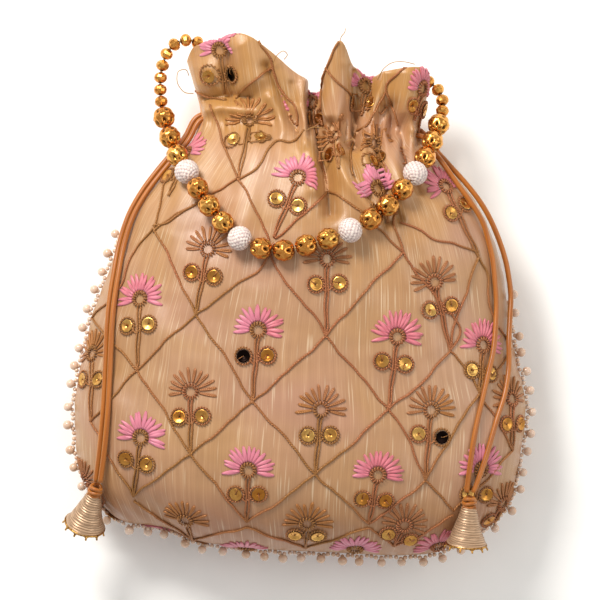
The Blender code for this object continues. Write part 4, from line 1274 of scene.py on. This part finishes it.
    def flower(self, centre, foot, pink, mirror=1, size=1.0):
        home = self.plane(centre, foot, mirror)
        dice = self.dice
        count = 15 if pink else 12
        for angle in np.radians(np.linspace(-100, 100, count)):
            outer = (11.6 if pink else 11.0) * size + dice.uniform(-1.1, 0.6)
            turn = angle + dice.uniform(-0.05, 0.05)
            if pink:
                self.petal_pink(home, turn, 3.9 * size, outer, dice.uniform(1.8, 2.3))
            else:
                self.petal_gold(home, turn, 4.1 * size, outer, dice.uniform(0.7, 1.1))
        self.coil(home, (0, 0), 2.9 * size, 0.8, 15)
        long = math.hypot(centre[0] - foot[0], centre[1] - foot[1])
        if long > 6:
            self.stem(home, centre, foot, mirror)
        if long > 10:
            down = min(11.5, long * 0.62)
            for sign in (-1, 1):
                at = (sign * dice.uniform(4.8, 5.6), -down - dice.uniform(-0.8, 0.8))
                self.sequin(home, at)
                self.coil(home, at, 3.75, 0.34, 19)
                t = np.linspace(0, 1, 7)
                curl = np.stack([at[0] * (t * 0.55), at[1] - 3.2 * (1 - t) - 1.0 * np.sin(t * 3)], -1)
                place, normal = self.settle(curl, home, 0.45)
                self.zari.sweep(place, 0.4, 5, normal)

    def pieces(self, prefix, finishes):
        made = [self.pink.piece(prefix + "_pink_petals", finishes[0]), self.gold.piece(prefix + "_gold_petals", finishes[1]),
                self.zari.piece(prefix + "_rings_and_stems", finishes[2]), self.sequins.piece(prefix + "_sequins", finishes[3])]
        return list(zip(made, ("brocade", "gold_wire", "gold_wire", "gold_bead")))


def sequin_colour(n):
    made = n.group(spots, {"Place": n.place()})
    tone = n.mix(n.between(n.noise(n.place(), 45.0, 1.0), 0.35, 0.65), srgb(186, 122, 50), srgb(228, 182, 104))
    worn = n.mix(n.between(made["Spots"], 0.45, 0.75, 0.0, 0.6), tone, srgb(146, 92, 44))
    # The depth attribute gives the black sequins their own black and darkens every hole with painted shade.
    return n.mix(n.add("Attribute", attribute_name="depth").outputs["Fac"], worn, srgb(22, 14, 12))


zari_thread = thread_finish("zari_thread", srgb(104, 54, 26), srgb(192, 122, 78), 0.0009, 0.42, 0.30, 0.0001,
                            blush=srgb(150, 108, 50))
gold_thread = thread_finish("gold_thread", srgb(106, 58, 28), srgb(186, 124, 78), 0.0009, 0.45, 0.30, 0.0001,
                            blush=srgb(170, 112, 52))
pink_silk = thread_finish("pink_silk", srgb(158, 56, 70), srgb(222, 128, 140), 0.006, 0.42, 0.0, 0.00025,
                          blush=srgb(206, 124, 148),
                          **{"Sheen Weight": 0.3})
sequin_gold = finish_of("sequin_gold", sequin_colour, lambda n: n.between(
    n.group(spots, {"Place": n.place()})["Spots"], 0.3, 0.7, 0.22, 0.42), 1.0)

front_laid, back_laid = Laid(front_cloth, True), Laid(back_cloth, False)
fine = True
embroidery = {"front": [(lattice_piece("front_lattice", LATTICE + FRILL_LINES, front_laid, zari_thread, fine=fine), "gold_wire")],
              "back": [(lattice_piece("back_lattice", LATTICE, back_laid, zari_thread, -1, fine=False), "gold_wire")]}
for side, cloth, mirror, seed in (("front", front_laid, 1, 31), ("back", back_laid, -1, 32)):
    flowers = Flowers(cloth, seed, fine and side == "front")
    for pink, rows in ((True, PINK_FLOWERS), (False, GOLD_FLOWERS)):
        for centre, foot in rows:
            if side == "front" or centre[1] < 60:
                flowers.flower(centre, foot, pink, mirror)
    embroidery[side] += flowers.pieces(side, (pink_silk, gold_thread, zari_thread, sequin_gold))
for side, rows in embroidery.items():
    for piece, slot in rows:
        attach(piece, "root")
    print(side, "embroidery:", sum(len(piece.data.polygons) for piece, _ in rows), "faces")
[piece for piece, _ in embroidery["front"]]
[piece for piece, _ in embroidery["back"]]
# %% [markdown]
# ## Inside the casing, and loose threads
# The drawstrings run through the neck between the two panels. A few thread ends were never trimmed: a curl beside
# the frill on the left, one at its peak and one where two lattice threads cross at the hem.

# %% Cords in the casing
for side, shift, node in (("left", 1.3, "drawstring_left_in_casing"), ("right", -1.3, "drawstring_right_in_casing")):
    share = np.linspace(0, 1, 60)[:, None]
    plan = np.array([-38.5, 80.3]) * (1 - share) + np.array([48.5, 74.2]) * share + [0, shift]
    height = (front_laid.down(plan)[0][:, 2] + back_laid.down(plan)[0][:, 2]) / 2
    for _ in range(12):
        height[1:-1] = (height[:-2] + height[2:]) / 2
    run = Stitches()
    run.sweep(np.column_stack([plan, height]), CORD / 2, 12)
    run = run.piece(f"{side}_cord_in_casing", satin_cord)
    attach(run, "root")
    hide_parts(node)

# %% Loose thread ends
loose = Stitches()
LOOSE_ENDS = [
    [(-47.5, 92, 34), (-51.5, 92.5, 36), (-54.5, 96.5, 38), (-54.2, 101.5, 38), (-50.8, 102.5, 36), (-49.5, 100, 33)],
    [(17.6, 113, 44), (18.2, 116.5, 46), (19.8, 118.6, 47), (20.0, 120.4, 47)],
    [(-12, 104.5, 47), (-10.5, 108, 49), (-7.5, 110.2, 50), (-5.6, 108.6, 49), (-7, 106.6, 47)],
    [(34.5, 98, 36), (37, 102.6, 40), (41, 105.4, 42), (46, 105.8, 42), (51, 104.8, 40)],
    [(24, 71.5, 46), (19.5, 69.8, 48), (15, 67.5, 48), (13.5, 62.5, 47), (16, 58, 46)],
    [(10.5, 76, 46), (5.5, 76.5, 47), (0.5, 74, 47), (-2.5, 76.8, 46)],
]
for ends in LOOSE_ENDS:
    loose.sweep(smooth(ends, 8), 0.2, 5)
loose = loose.piece("loose_thread_ends", bead_thread)
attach(loose, "root")

# %% The floor
floor_mesh = bpy.data.meshes.new("floor")
floor_mesh.from_pydata([(-3, -3, 0), (3, -3, 0), (3, 3, 0), (-3, 3, 0)], [], [(0, 1, 2, 3)])
floor = bpy.data.objects.new("floor", floor_mesh)
bpy.context.scene.collection.objects.link(floor)
floor_mesh.materials.append(finish_of(
    "floor_paper", lambda n: n.mix(n.between(n.noise(n.place(), 30.0), 0.4, 0.6), srgb(252, 252, 251), srgb(255, 255, 254)), 0.8))
